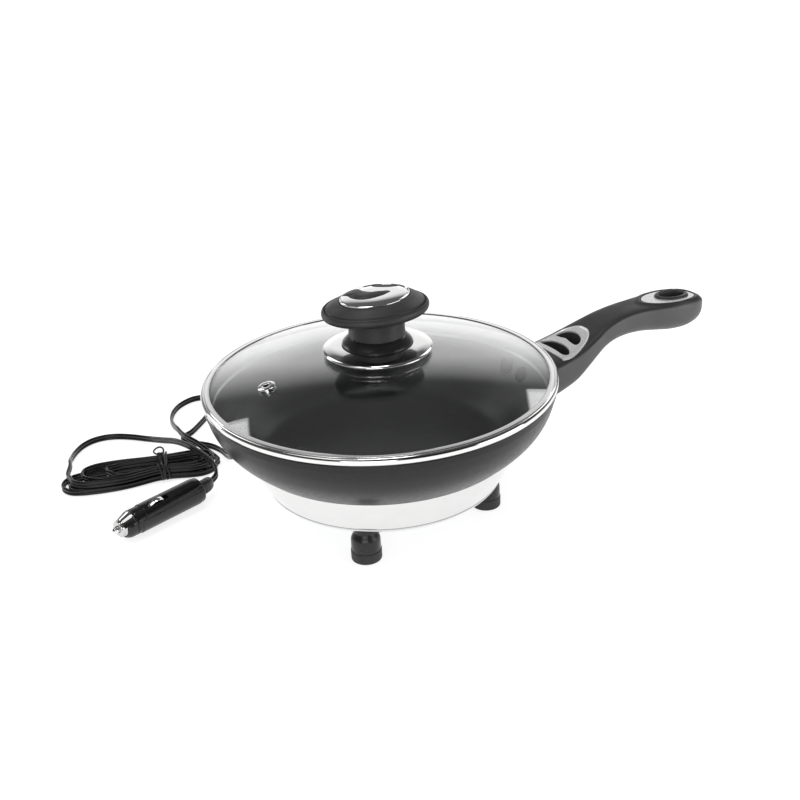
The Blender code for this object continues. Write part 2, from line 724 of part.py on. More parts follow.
def rounded(outline, count=2):
    """A closed outline with smooth curves drawn through its points."""
    points = np.array(outline)
    share = np.linspace(0, 1, count, endpoint=False)[:, None]
    pieces = []
    for i in range(len(points)):
        before, start, end, after = (points[(i + k) % len(points)] for k in (-1, 0, 1, 2))
        pieces.append(spline_piece(before, start, end, after, share))
    return [tuple(point) for point in np.vstack(pieces)]


def build_handle(pan):
    shell = lofted([handle_ring(*station) for station in handle_stations()])
    grip = place("handle_grip", shell, "soft_touch_black", parent=pan)
    outside = inset(bowl_outline(), -bracket_out() - RIVET_SEAT)
    over = HANDLE_HIGH + CUT_OVERRUN
    outline = [(0, 0), (outside[0][0], 0)] + [tuple(p) for p in outside] + [(outside[-1][0], over), (0, over)]
    bowl_room = place("bowl_room", turned(outline), None, parent=pan, cutter=True)
    tongue_room = place("tongue_room", tongue_box(FIT_GAP), None, parent=pan, cutter=True)
    tail_size = (3 * RIVET_TAIL, RIVET_SPACING + 3 * RIVET_TAIL, 2.4 * RIVET_TAIL)
    tail_spot = (bowl_radius_at(RIVET_HEIGHT) + RIVET_TAIL / 2, 0, RIVET_HEIGHT - RIVET_TAIL * 0.45)
    tail_room = place("tail_room", box_solid(tail_size, tail_spot), None, parent=pan, cutter=True)
    spot = screw_place()
    under = handle_at(spot)[2]
    at_screw = Matrix.Translation((spot, 0, 0))
    screw_room = place(
        "screw_room", drum_solid(GRIP_SCREW_RADIUS + FIT_GAP, under - CUT_OVERRUN, RIVET_HEIGHT, 12),
        None, at_screw, pan, cutter=True,
    )
    low = under + GRIP_SCREW_HEAD_THICK
    head_top = low + GRIP_SCREW_HEAD_THICK + FIT_GAP
    head_room = place(
        "screw_head_room", drum_solid(GRIP_SCREW_HEAD + FIT_GAP, under - CUT_OVERRUN, head_top, 16),
        None, at_screw, pan, cutter=True,
    )
    front_room = place(
        "front_plate_room",
        plate_on_handle(*front_plate_grid(FIT_GAP), CUT_OVERRUN, FRONT_PLATE_THICK + 2 * FIT_GAP),
        None, parent=pan, cutter=True,
    )
    rear_room = place(
        "rear_plate_room",
        plate_on_handle(*rear_plate_grid(FIT_GAP), CUT_OVERRUN, REAR_PLATE_THICK + 2 * FIT_GAP),
        None, parent=pan, cutter=True,
    )
    neck_room = oval(RING_HOLE_LENGTH + 2 * RING_NECK_WALL + 2 * FIT_GAP,
                     RING_HOLE_WIDTH + 2 * RING_NECK_WALL + 2 * FIT_GAP)
    hang_hole = place(
        "hang_hole", prism(neck_room, HANDLE_LOW, HANDLE_HIGH + CUT_OVERRUN), None,
        Matrix.Translation((RING_PLACE, 0, 0)), pan, cutter=True,
    )
    cut(grip, bowl_room, tongue_room, tail_room, screw_room, head_room, front_room, rear_room, hang_hole)

    plate = place(
        "handle_front_inlay", plate_on_handle(*front_plate_grid(0), FIT_GAP, FRONT_PLATE_THICK),
        "brushed_aluminium", parent=pan,
    )
    cut(plate, handle_drop("outer_drop", OUTER_DROP_SHARES, pan))
    cut(plate, handle_drop("root_drop", ROOT_DROP_SHARES, pan))
    plate = place(
        "handle_rear_inlay", plate_on_handle(*rear_plate_grid(0), FIT_GAP, REAR_PLATE_THICK),
        "brushed_aluminium", parent=pan,
    )
    cut(plate, hang_hole)
    build_hang_ring(pan)

    outline = [
        (0, low), (GRIP_SCREW_HEAD, low), (GRIP_SCREW_HEAD, low + GRIP_SCREW_HEAD_THICK),
        (GRIP_SCREW_RADIUS, low + GRIP_SCREW_HEAD_THICK), (GRIP_SCREW_RADIUS, RIVET_HEIGHT),
        (0, RIVET_HEIGHT),
    ]
    place("handle_screw", turned(outline, 16), "galvanised_steel", at_screw, pan)


def build_hang_ring(pan):
    """The eyelet that lines the hanging hole: a flange on top and a neck down through the grip."""
    half, top, under = handle_at(RING_PLACE)
    neck = (RING_HOLE_LENGTH + 2 * RING_NECK_WALL, RING_HOLE_WIDTH + 2 * RING_NECK_WALL)
    hole = (RING_HOLE_LENGTH, RING_HOLE_WIDTH)
    flange = (RING_LENGTH, RING_WIDTH)
    soft = RING_NECK_WALL / 2
    foot = under + (top - under) * 0.1

    def level_ring(size):
        return [(RING_PLACE + x, y, foot) for x, y in oval(*size)]

    def face_ring(size, grow, lift):
        points = oval(size[0] + 2 * grow, size[1] + 2 * grow)
        return [(RING_PLACE + x, y, handle_top(RING_PLACE + x, y) + lift) for x, y in points]

    seat = FIT_GAP + FIT_GAP
    crest = seat + RING_PROUD
    rings = [
        level_ring(hole), level_ring(neck), face_ring(neck, 0, seat), face_ring(flange, 0, seat),
        face_ring(flange, -soft / 2, seat + RING_PROUD * 0.7), face_ring(flange, -soft, crest),
        face_ring(hole, soft, crest), face_ring(hole, 0, seat),
    ]
    place("hang_ring", lofted(rings, closed=True), "gloss_black", parent=pan)


def build_band(lid):
    """The rolled steel band: a channel round the glass edge, with a wide flange on top of the glass."""
    low = band_bottom()
    edge = glass_edge()
    side_top = low + BAND_SIDE
    inner = LID_RADIUS - BAND_FLANGE

    def over(radius, lift):
        return glass_height(radius) + FIT_GAP + lift

    def beneath(radius, drop):
        return glass_height(radius) - GLASS_THICK - FIT_GAP - drop

    wall_in = edge + FIT_GAP
    lip = edge - BAND_FLANGE / 2
    outline = [
        (lip, beneath(lip, BAND_SHEET)), (wall_in, low), (LID_RADIUS - BAND_SHEET, low),
        (LID_RADIUS, low + BAND_SHEET), (LID_RADIUS, side_top - BAND_SHEET),
        (wall_in, over(wall_in, BAND_SHEET)),
        (inner + BAND_SHEET / 2, over(inner + BAND_SHEET / 2, BAND_SHEET)), (inner, over(inner, 0)),
        (wall_in, over(wall_in, 0)),
        (wall_in, beneath(wall_in, 0)), (lip, beneath(lip, 0)),
    ]
    place("lid_rim_band", turned(outline), "polished_steel", parent=lid)


def build_glass(lid):
    vent_out, vent_in = vent_place() + VENT_FLANGE, vent_place() - VENT_FLANGE
    radii = [glass_edge(), vent_out, vent_in, vent_in / 2, vent_in / 4, knob_bore()]
    top = [(radius, glass_height(radius)) for radius in radii]
    below = [(radius, glass_height(radius) - GLASS_THICK) for radius in radii]
    glass = place("lid_glass", turned(top + below[::-1]), "clear_glass", parent=lid)
    hole = place(
        "vent_hole", drum_solid(VENT_NECK + FIT_GAP, -GLASS_THICK - CUT_OVERRUN, CUT_OVERRUN, 14),
        None, vent_frame(), lid, cutter=True,
    )
    cut(glass, hole)


def vent_frame():
    """A frame on the glass's upper face at the vent, square to the glass."""
    slope = 2 * GLASS_RISE * vent_place() / glass_edge() ** 2
    out = Vector((math.cos(VENT_ANGLE), math.sin(VENT_ANGLE), 0))
    normal = (out * slope + Vector((0, 0, 1))).normalized()
    return aimed((*(out * vent_place()).xy, glass_height(vent_place())), normal)


def build_vent(lid):
    top = FIT_GAP + VENT_FLANGE_THICK
    low = -GLASS_THICK - FIT_GAP
    base = low - VENT_FLANGE_THICK
    soft = VENT_FLANGE_THICK / 3
    outline = [
        (VENT_BORE, base), (VENT_FLANGE - soft, base), (VENT_FLANGE, base + soft), (VENT_FLANGE, low),
        (VENT_NECK, low), (VENT_NECK, FIT_GAP), (VENT_FLANGE, FIT_GAP), (VENT_FLANGE, top - soft),
        (VENT_FLANGE - soft, top), (VENT_BORE + soft, top), (VENT_BORE, top - soft),
    ]
    place("vent_eyelet", turned(outline, 14), "polished_steel", vent_frame(), lid)


def knob_bore():
    return KNOB_BOLT_RADIUS + FIT_GAP


def knob_levels():
    """Heights of the knob's pieces, each seated on the one below it."""
    level = {}
    level["seal_top"] = glass_height(0) + FIT_GAP + SEAL_THICK
    level["disc_low"] = level["seal_top"] + FIT_GAP
    level["disc_top"] = level["disc_low"] + DISC_SHEET
    level["foot_low"] = level["disc_top"] + FIT_GAP
    level["foot_top"] = level["foot_low"] + FOOT_HEIGHT
    level["neck_low"] = level["foot_top"] + FIT_GAP
    level["neck_top"] = level["neck_low"] + NECK_HEIGHT
    level["cap_low"] = level["neck_top"] + FIT_GAP
    level["bead_low"] = level["cap_low"] + CAP_SKIRT
    level["bead_top"] = level["bead_low"] + BEAD_THICK
    level["cap_top"] = level["bead_top"] + CAP_RISE
    level["bolt_tip"] = level["cap_low"] + BEAD_THICK
    return level


def build_knob(lid):
    level = knob_levels()
    bore = knob_bore()
    glass_low = glass_height(0) - GLASS_THICK

    def face(radius):
        return glass_height(radius) + FIT_GAP

    outline = [(bore, face(bore)), (SEAL_RADIUS, face(SEAL_RADIUS)), (SEAL_RADIUS, level["seal_top"]),
               (bore, level["seal_top"])]
    place("knob_seal", turned(outline, 20), "silicone", parent=lid)

    crest = (FOOT_RADIUS + DISC_RADIUS) / 2
    flat = FOOT_RADIUS + SLIDE_GAP
    shell = [(bore, 0), (flat, 0), (crest, DISC_RISE * 0.72), (DISC_RADIUS - DISC_RISE, DISC_RISE * 0.40),
             (DISC_RADIUS - DISC_SHEET / 2, -DISC_RISE * 0.22)]
    low = [(radius, level["disc_low"] + rise) for radius, rise in shell]
    high = [(radius, level["disc_top"] + rise) for radius, rise in shell]
    rim = [(DISC_RADIUS, level["disc_low"] - DISC_RISE * 0.42), (DISC_RADIUS, level["disc_low"])]
    place("knob_disc", turned(low + rim + high[::-1], 30), "polished_steel", parent=lid)

    outline = [(bore, level["foot_low"]), (FOOT_RADIUS - FOOT_FLARE / 6, level["foot_low"])]
    for a in np.linspace(0, math.pi / 2, 5)[:-1]:
        rise = FOOT_EDGE_SHARE + (1 - FOOT_EDGE_SHARE) * math.sin(a)
        outline.append((FOOT_RADIUS - FOOT_FLARE * (1 - math.cos(a)), level["foot_low"] + FOOT_HEIGHT * rise))
    outline += [(NECK_RADIUS, level["foot_top"]), (bore, level["foot_top"])]
    place("knob_foot", turned(outline, 22), "gloss_black", parent=lid)

    soft = NECK_HEIGHT / 20
    outline = [
        (bore, level["neck_low"]), (NECK_RADIUS - soft, level["neck_low"]),
        (NECK_RADIUS, level["neck_low"] + soft), (NECK_RADIUS, level["neck_low"] + NECK_HEIGHT / 2),
        (NECK_RADIUS + soft, level["neck_top"]), (bore, level["neck_top"]),
    ]
    place("knob_neck", turned(outline, 22), "soft_touch_black", parent=lid)

    build_cap(lid, level)

    washer_top = glass_low - FIT_GAP
    washer_low = washer_top - KNOB_WASHER_THICK
    outline = [
        (bore, washer_low), (KNOB_WASHER_RADIUS, washer_low), (KNOB_WASHER_RADIUS, washer_top - FIT_GAP),
        (bore, washer_top),
    ]
    place("knob_washer", turned(outline, 16), "silicone", parent=lid)

    head_top = washer_low - FIT_GAP
    head_low = head_top - KNOB_WASHER_THICK * 1.5
    outline = [
        (0, head_low), (KNOB_BOLT_HEAD * 0.8, head_low), (KNOB_BOLT_HEAD, head_top - KNOB_WASHER_THICK * 0.6),
        (KNOB_BOLT_HEAD, head_top), (KNOB_BOLT_RADIUS, head_top), (KNOB_BOLT_RADIUS, level["bolt_tip"]),
        (0, level["bolt_tip"]),
    ]
    place("knob_bolt", turned(outline, 12), "polished_steel", parent=lid)


def build_cap(lid, level):
    """The oval soft-touch cap: a skirt, a round bead, a groove and a low dome with a pocket for the inlay."""
    rings = []

    def ring(length, width, height):
        rings.append([(x, y, height) for x, y in oval(length, width, CAP_SIDES)])

    bead = BEAD_THICK / 2
    centre = level["bead_low"] + bead
    foot = 2 * (NECK_RADIUS + NECK_HEIGHT / 20)
    ring(foot, foot, level["cap_low"])
    share = CAP_SKIRT_SHARE
    ring(foot + (CAP_LENGTH - BEAD_THICK - foot) * share, foot + (CAP_WIDTH - BEAD_THICK - foot) * share,
         level["cap_low"] + CAP_SKIRT * share**2)
    for a in np.linspace(-1.25, 1.35, 5):
        grow = BEAD_THICK * 0.72 * (math.cos(a) - 1)
        ring(CAP_LENGTH + grow, CAP_WIDTH + grow, centre + bead * math.sin(a))
    step = BEAD_THICK * 0.14
    inside_length, inside_width = CAP_LENGTH - BEAD_THICK * 0.72, CAP_WIDTH - BEAD_THICK * 0.72
    ring(inside_length, inside_width, level["bead_top"] - step)
    ring(inside_length - step, inside_width - step, level["bead_top"] + step)
    top_length, top_width = INLAY_LENGTH + 4 * FIT_GAP, INLAY_WIDTH + 4 * FIT_GAP
    for share in (0.5, 1.0):
        rise = (CAP_RISE - step) * math.sin(share * 1.35) / math.sin(1.35)
        ring(inside_length - step + (top_length - inside_length) * share,
             inside_width - step + (top_width - inside_width) * share, level["bead_top"] + step + rise)
    cap = place("knob_cap", lofted(rings), "soft_touch_black", parent=lid)
    floor = level["cap_top"] - INLAY_THICK
    turn = Matrix.Rotation(INLAY_TURN, 4, "Z")
    room = oval(INLAY_LENGTH + 2 * FIT_GAP, INLAY_WIDTH + 2 * FIT_GAP, 32)
    pocket = prism(room, floor, floor + CUT_OVERRUN)
    hole = drum_solid(knob_bore(), level["cap_low"] - CUT_OVERRUN, level["bolt_tip"] + FIT_GAP, 12)
    cut(cap, place("knob_pocket", pocket, None, turn, lid, cutter=True),
        place("cap_bolt_hole", hole, None, parent=lid, cutter=True))
    base = floor + FIT_GAP
    edge = base + INLAY_THICK
    crown = [(1.0, base), (1.0, edge), (0.94, edge + INLAY_CROWN * 0.30), (0.70, edge + INLAY_CROWN * 0.74),
             (0.35, edge + INLAY_CROWN * 0.96)]
    rings = []
    for share, height in crown:
        rings.append([(x, y, height) for x, y in oval(INLAY_LENGTH * share, INLAY_WIDTH * share, 32)])
    inlay = place("knob_inlay", lofted(rings), "polished_steel", turn, lid)
    for name, shares in (("main_drop", MAIN_DROP_SHARES), ("small_drop", SMALL_DROP_SHARES)):
        outline = [(along * INLAY_LENGTH / 2, across * INLAY_WIDTH / 2) for along, across in shares]
        drop = prism(rounded(outline), base - CUT_OVERRUN, edge + CUT_OVERRUN)
        cut(inlay, place(name, drop, None, turn, lid, cutter=True))


def around(radius, angle, height):
    return (radius * math.cos(angle), radius * math.sin(angle), height)


def drum_top_radius():
    return bowl_radius_at(DRUM_TOP) + DRUM_STANDOFF


def drum_bottom_radius():
    return drum_top_radius() - DRUM_TAPER


def leg_circle():
    return drum_bottom_radius() - LEG_INSET


def element_ring():
    return drum_bottom_radius() - ELEMENT_INSET


def drum_slope():
    return math.atan2(DRUM_TAPER, DRUM_TOP - DRUM_BOTTOM)


def drum_radius_at(height):
    return float(np.interp(height, (DRUM_BOTTOM, DRUM_TOP), (drum_bottom_radius(), drum_top_radius())))


def cover_low():
    return DRUM_BOTTOM + DRUM_SHEET + FIT_GAP


def build_base(pan):
    across = DRUM_SHEET / math.cos(drum_slope())
    wide, narrow = drum_top_radius(), drum_bottom_radius()
    corner = [
        (narrow - DRUM_CORNER * (1 - math.sin(a)), DRUM_BOTTOM + DRUM_CORNER * (1 - math.cos(a)))
        for a in np.linspace(0, math.pi / 2 - drum_slope(), 3)
    ]
    lip_end = narrow - DRUM_LIP
    inner_low = DRUM_BOTTOM + DRUM_SHEET
    outline = [(lip_end, DRUM_BOTTOM)] + corner + [(wide, DRUM_TOP), (wide - across, DRUM_TOP)]
    outline += [
        (drum_radius_at(inner_low + DRUM_CORNER) - across, inner_low + DRUM_CORNER),
        (narrow - DRUM_CORNER, inner_low), (lip_end, inner_low),
    ]
    drum = place("base_drum", turned(outline), "polished_steel", parent=pan)
    cut(drum, place(
        "cord_hole", drum_solid(BUSHING_NECK + FIT_GAP, -CUT_OVERRUN, CUT_OVERRUN, 12),
        None, cord_exit_frame(), pan, cutter=True,
    ))

    low = cover_low()
    high = low + COVER_THICK
    radius = narrow - DRUM_CORNER - FIT_GAP
    bore = STUD_RADIUS + FIT_GAP
    outline = [(bore, low), (radius, low), (radius, high), (bore, high)]
    cover = place("base_cover", turned(outline, 26), "galvanised_steel", parent=pan)
    for name, angle in LEG_ANGLES.items():
        spot = Matrix.Translation(around(leg_circle(), angle, 0))
        hole = drum_solid(LEG_SCREW_RADIUS + FIT_GAP, low - CUT_OVERRUN, high + CUT_OVERRUN, 10)
        cut(cover, place(f"cover_hole_{name}", hole, None, spot, pan, cutter=True))

    spreader_top = BOWL_BOTTOM - FIT_GAP
    spreader_low = spreader_top - SPREADER_THICK
    spreader_radius = narrow - SPREADER_INSET
    outline = [(bore, spreader_low), (spreader_radius, spreader_low), (spreader_radius, spreader_top),
               (bore, spreader_top)]
    place("heat_spreader", turned(outline, 20), "brushed_aluminium", parent=pan)

    element_low = spreader_low - FIT_GAP - ELEMENT_TUBE
    centre = element_low + ELEMENT_TUBE / 2
    start = CORD_EXIT_ANGLE + ELEMENT_GAP_ANGLE / 2
    sweep = np.linspace(start, start + math.tau - ELEMENT_GAP_ANGLE, ELEMENT_STEPS)
    ring = [around(element_ring(), angle, centre) for angle in sweep]
    wire("heating_element", ring, ELEMENT_TUBE / 2, "heater_sheath", parent=pan)

    pad_low = high + FIT_GAP
    pad_top = element_low - FIT_GAP
    pad_radius = narrow - PAD_INSET
    outline = [(bore, pad_low), (pad_radius, pad_low), (pad_radius, pad_top), (bore, pad_top)]
    place("insulation_pad", turned(outline, 20), "insulation", parent=pan)

    washer_top = low - FIT_GAP
    washer_low = washer_top - WASHER_THICK
    washer = drum_solid(WASHER_RADIUS, washer_low, washer_top, 16, bore)
    place("stud_washer", washer, "galvanised_steel", parent=pan)
    nut_top = washer_low - FIT_GAP
    nut_low = nut_top - NUT_THICK
    corners = [around(NUT_ACROSS / math.sqrt(3), k * math.pi / 3, 0)[:2] for k in range(6)]
    nut = place("stud_nut", prism(corners, nut_low, nut_top), "galvanised_steel", parent=pan)
    cut(nut, place(
        "nut_bore", drum_solid(bore, nut_low - CUT_OVERRUN, nut_top + CUT_OVERRUN, 12),
        None, parent=pan, cutter=True,
    ))
    stud = drum_solid(STUD_RADIUS, nut_low - STUD_PROUD, BOWL_BOTTOM - FIT_GAP, 12)
    place("base_stud", stud, "galvanised_steel", parent=pan)
    build_wiring(pan, high, spreader_low, centre)


def build_wiring(pan, floor, ceiling, centre):
    """The terminal block, the thermal cutout and the wires between them and the element."""
    block_place = drum_bottom_radius() - BLOCK_INSET
    cutout_place = drum_bottom_radius() - CUTOUT_INSET
    block_low = floor + FIT_GAP
    spot = Matrix.Translation(around(block_place, CORD_EXIT_ANGLE, 0))
    frame = spot @ Matrix.Rotation(CORD_EXIT_ANGLE, 4, "Z")
    block = box_solid((BLOCK_WIDTH, BLOCK_LENGTH, BLOCK_HEIGHT), (0, 0, block_low + BLOCK_HEIGHT / 2))
    bmesh.ops.bevel(block, geom=block.edges[:], offset=WIRE_RADIUS / 2, segments=1, affect="EDGES")
    place("terminal_block", block, "insulation", frame, pan)

    top = ceiling - FIT_GAP
    outline = [(0, top - CUTOUT_THICK), (CUTOUT_RADIUS, top - CUTOUT_THICK), (CUTOUT_RADIUS, top), (0, top)]
    place(
        "thermal_cutout", turned(outline, 16), "galvanised_steel",
        Matrix.Translation(around(cutout_place, CUTOUT_ANGLE, 0)), pan,
    )

    level = block_low + BLOCK_HEIGHT / 2
    cutout_level = top - CUTOUT_THICK / 2
    reach = WIRE_RADIUS + FIT_GAP
    quarter = BLOCK_LENGTH / block_place / 4
    half_gap = ELEMENT_GAP_ANGLE / 2
    block_face = block_place - BLOCK_WIDTH / 2 - FIT_GAP
    ring_out = element_ring() + ELEMENT_TUBE / 2 + reach
    element_end = half_gap - 2 * FIT_GAP / element_ring()
    live = [
        around(block_face, CORD_EXIT_ANGLE - quarter, level),
        around(block_face - 2 * reach, CORD_EXIT_ANGLE - quarter, level),
        around(ring_out, CORD_EXIT_ANGLE - quarter, centre),
        around(element_ring(), CORD_EXIT_ANGLE - half_gap / 2, centre),
        around(element_ring(), CORD_EXIT_ANGLE - element_end, centre),
    ]
    wire("wire_live", live, WIRE_RADIUS, "wire_sleeve", parent=pan)
    block_side = CORD_EXIT_ANGLE + 2 * quarter
    cutout_side = CUTOUT_ANGLE - (CUTOUT_RADIUS + FIT_GAP) / cutout_place
    feed = [
        around(block_place, block_side + reach / block_place, level),
        around(block_place, block_side + 3 * reach / block_place, level + reach),
        around(cutout_place + reach, cutout_side - 3 * reach / cutout_place, cutout_level),
        around(cutout_place, cutout_side - FIT_GAP / cutout_place, cutout_level),
    ]
    wire("wire_cutout", feed, WIRE_RADIUS, "wire_sleeve", parent=pan)
    cutout_face = cutout_place - CUTOUT_RADIUS - FIT_GAP
    back = [
        around(cutout_face, CUTOUT_ANGLE, cutout_level),
        around(cutout_face - reach, CUTOUT_ANGLE, cutout_level),
        around(ring_out, CUTOUT_ANGLE - quarter, centre),
        around(ring_out, CORD_EXIT_ANGLE + half_gap, centre),
        around(element_ring(), CORD_EXIT_ANGLE + half_gap / 2, centre),
        around(element_ring(), CORD_EXIT_ANGLE + element_end, centre),
    ]
    wire("wire_return", back, WIRE_RADIUS, "wire_sleeve", parent=pan)


def build_legs(pan):
    leg_top = DRUM_BOTTOM - FIT_GAP
    spigot = LEG_RADIUS - LEG_STEP
    neck = LEG_RADIUS - LEG_TAPER
    spigot_low = TIP_SOLE + FIT_GAP
    shoulder = TIP_HEIGHT + FIT_GAP
    screw_top = cover_low() + COVER_THICK + FIT_GAP
    screw_tip = leg_top - LEG_SCREW_DEPTH
    bore = LEG_SCREW_RADIUS + FIT_GAP
    bore_end = screw_tip - FIT_GAP
    tip_radius = spigot + FIT_GAP + TIP_WALL
    for name, angle in LEG_ANGLES.items():
        spot = Matrix.Translation(around(leg_circle(), angle, 0))
        outline = [
            (0, spigot_low), (spigot, spigot_low), (spigot, shoulder), (LEG_RADIUS, shoulder),
            (neck, leg_top - LEG_CHAMFER), (neck - LEG_CHAMFER, leg_top), (bore, leg_top),
            (bore, bore_end), (0, bore_end),
        ]
        place(f"leg_{name}", turned(outline, 14), "black_plastic", spot, pan)
        soft = TIP_WALL / 2
        outline = [
            (0, 0), (tip_radius - soft, 0), (tip_radius, soft), (tip_radius, TIP_HEIGHT),
            (spigot + FIT_GAP, TIP_HEIGHT), (spigot + FIT_GAP, TIP_SOLE), (0, TIP_SOLE),
        ]
        place(f"leg_tip_{name}", turned(outline, 14), "rubber", spot, pan)
        outline = [
            (0, screw_tip), (LEG_SCREW_RADIUS, screw_tip), (LEG_SCREW_RADIUS, screw_top),
            (LEG_SCREW_HEAD, screw_top), (LEG_SCREW_HEAD * 0.7, screw_top + LEG_SCREW_HEAD_THICK),
            (0, screw_top + LEG_SCREW_HEAD_THICK),
        ]
        place(f"leg_screw_{name}", turned(outline, 10), "galvanised_steel", spot, pan)


def cord_exit_frame():
    """A frame on the drum's outer face where the cord leaves, its Z square to that face."""
    height = DRUM_BOTTOM + CORD_EXIT_RISE
    out = Vector(around(1, CORD_EXIT_ANGLE, 0))
    direction = out * math.cos(drum_slope()) - Vector((0, 0, math.sin(drum_slope())))
    return aimed(around(drum_radius_at(height), CORD_EXIT_ANGLE, height), direction)


def build_bushing(pan):
    """The strain relief: a grommet through the drum wall that tapers to the cord, with grip rings."""
    inside = -DRUM_SHEET - FIT_GAP - FIT_GAP
    outline = [(0, inside - BUSHING_FLANGE_THICK), (BUSHING_FLANGE_RADIUS, inside - BUSHING_FLANGE_THICK),
               (BUSHING_FLANGE_RADIUS, inside), (BUSHING_NECK, inside), (BUSHING_NECK, FIT_GAP),
               (BUSHING_FLANGE_RADIUS, FIT_GAP), (BUSHING_FLANGE_RADIUS, FIT_GAP + BUSHING_FLANGE_THICK)]
    start = FIT_GAP + BUSHING_FLANGE_THICK
    taper = BUSHING_REACH - start
    depth = (BUSHING_ROOT_RADIUS - BUSHING_NECK) / 2
    for share, sunk in BUSHING_GROOVE_SHARES:
        radius = BUSHING_ROOT_RADIUS + (BUSHING_END_RADIUS - BUSHING_ROOT_RADIUS) * share
        outline.append((radius - depth * sunk, start + taper * share))
    outline += [(BUSHING_END_RADIUS, BUSHING_REACH), (0, BUSHING_REACH)]
    place("cord_bushing", turned(outline, 12), "rubber", cord_exit_frame(), pan)


def hank_path():
    """The hank: loops that spiral in on the lower layer and out on the upper one, drawn in at the waist."""
    turns = np.linspace(0, HANK_LOOPS, int(HANK_LOOPS * HANK_STEPS * 12) + 1)
    angle = -math.tau * turns
    climb = np.clip((turns - CLIMB_START) / CLIMB_TURNS, 0, 1)
    layer = climb * climb * (3 - 2 * climb)
    depth = np.minimum(turns, HANK_LOOPS - turns)
    radius = HANK_RADIUS - HANK_PITCH * depth
    run = np.tanh(2.6 * np.cos(angle)) / math.tanh(2.6)
    left_reach = HANK_REACH - layer * (HANK_TOP_SETBACK + HANK_SHORT_LOOP * (2 * depth / HANK_LOOPS) ** 2)
    x = np.where(run < 0, left_reach, HANK_REACH) * run + radius * np.cos(angle)
    drawn_in = HANK_WAIST * np.exp(-(((x - HANK_WAIST_PLACE) / HANK_WAIST_SPREAD) ** 2))
    y = radius * np.sin(angle) * (1 - drawn_in)
    lift = TIE_SHEET * np.exp(-(((x - HANK_WAIST_PLACE) / TIE_LIFT_SPREAD) ** 2))
    z = CORD_REST + LAYER_RISE * layer + lift
    flat = Matrix.Translation((*HANK_CENTRE, 0)) @ Matrix.Rotation(HANK_ANGLE, 4, "Z")
    dense = np.stack([x, y, z, np.ones_like(x)], axis=1) @ np.array(flat).T
    loops = even_steps(dense[:, :3], route_length(dense[:, :3]) / (HANK_LOOPS * HANK_STEPS))
    return np.vstack([onward(loops[1], loops[0]), loops, onward(loops[-2], loops[-1])])


def onward(before, end, reach=CORD_WIDTH):
    """The point that lies straight on past an end."""
    return end + (end - before) / np.linalg.norm(end - before) * reach


def cord_route(start, start_way, points, end, end_way):
    """A smooth route whose two ends run straight for one cord width, square to what they meet."""
    first, last = start + start_way * CORD_WIDTH, end + end_way * CORD_WIDTH
    route = smooth_route(np.vstack([start, first, points, last, end]), CORD_STEP)
    clear = 1.5 * CORD_WIDTH
    free = (np.linalg.norm(route - start, axis=1) > clear) & (np.linalg.norm(route - end, axis=1) > clear)
    return np.vstack([start, first, route[free], last, end])


def least_gap(path):
    """The least clear space between stretches of the flat cord that aren't neighbours along it."""
    dense = even_steps(path, CORD_THICK)
    step = route_length(dense) / (len(dense) - 1)
    delta = dense[:, None] - dense[None]
    beside = np.linalg.norm(delta[..., :2], axis=2)
    above = np.maximum(np.abs(delta[..., 2]) - (CORD_WIDTH - CORD_THICK), 0)
    gap = np.hypot(beside, above) - CORD_THICK
    index = np.arange(len(dense))
    gap[np.abs(index[:, None] - index[None]) * step < 5 * CORD_WIDTH] = np.inf
    first = np.unravel_index(gap.argmin(), gap.shape)[0]
    return float(gap.min()), dense[first]


def build_cord():
    """The cord in three pieces: from the base to the hank, the hank, and from the hank to the plug."""
    exit_frame = Matrix.Translation((PAN_X, 0, 0)) @ cord_exit_frame()
    mouth, out = relief_path()[-1]
    hank = hank_path()
    into, away = onward(hank[1], hank[0], 1) - hank[0], onward(hank[-2], hank[-1], 1) - hank[-1]
    start_way = np.array(exit_frame.to_3x3() @ Vector((0, 0, 1)))
    start = np.array(exit_frame @ Vector((0, 0, BUSHING_REACH + FIT_GAP)))
    lead = cord_route(start, start_way, LEAD_ROUTE, hank[0] + into * FIT_GAP, into)
    tail = cord_route(hank[-1] + away * FIT_GAP, away, TAIL_ROUTE, mouth + out * FIT_GAP, out)
    half_width = (CORD_WIDTH - CORD_THICK) / 2
    wire("cord_lead", lead, CORD_THICK / 2, "cord_vinyl", half_width)
    wire("cord_hank", hank, CORD_THICK / 2, "cord_vinyl", half_width)
    wire("cord_tail", tail, CORD_THICK / 2, "cord_vinyl", half_width)
    whole = np.vstack([lead, hank, tail])
    hank_gap, whole_gap = least_gap(hank), least_gap(whole)
    lengths = [route_length(path) for path in (lead, hank, tail, whole)]
    print("cord: lead {:.3f}, hank {:.3f}, tail {:.3f}, in all {:.3f} m".format(*lengths))
    print(f"least gap in the hank {hank_gap[0] * 1000:.2f} mm; in the whole cord {whole_gap[0] * 1000:.2f} mm"
          f" near {whole_gap[1] * 1000}")
    build_tie()


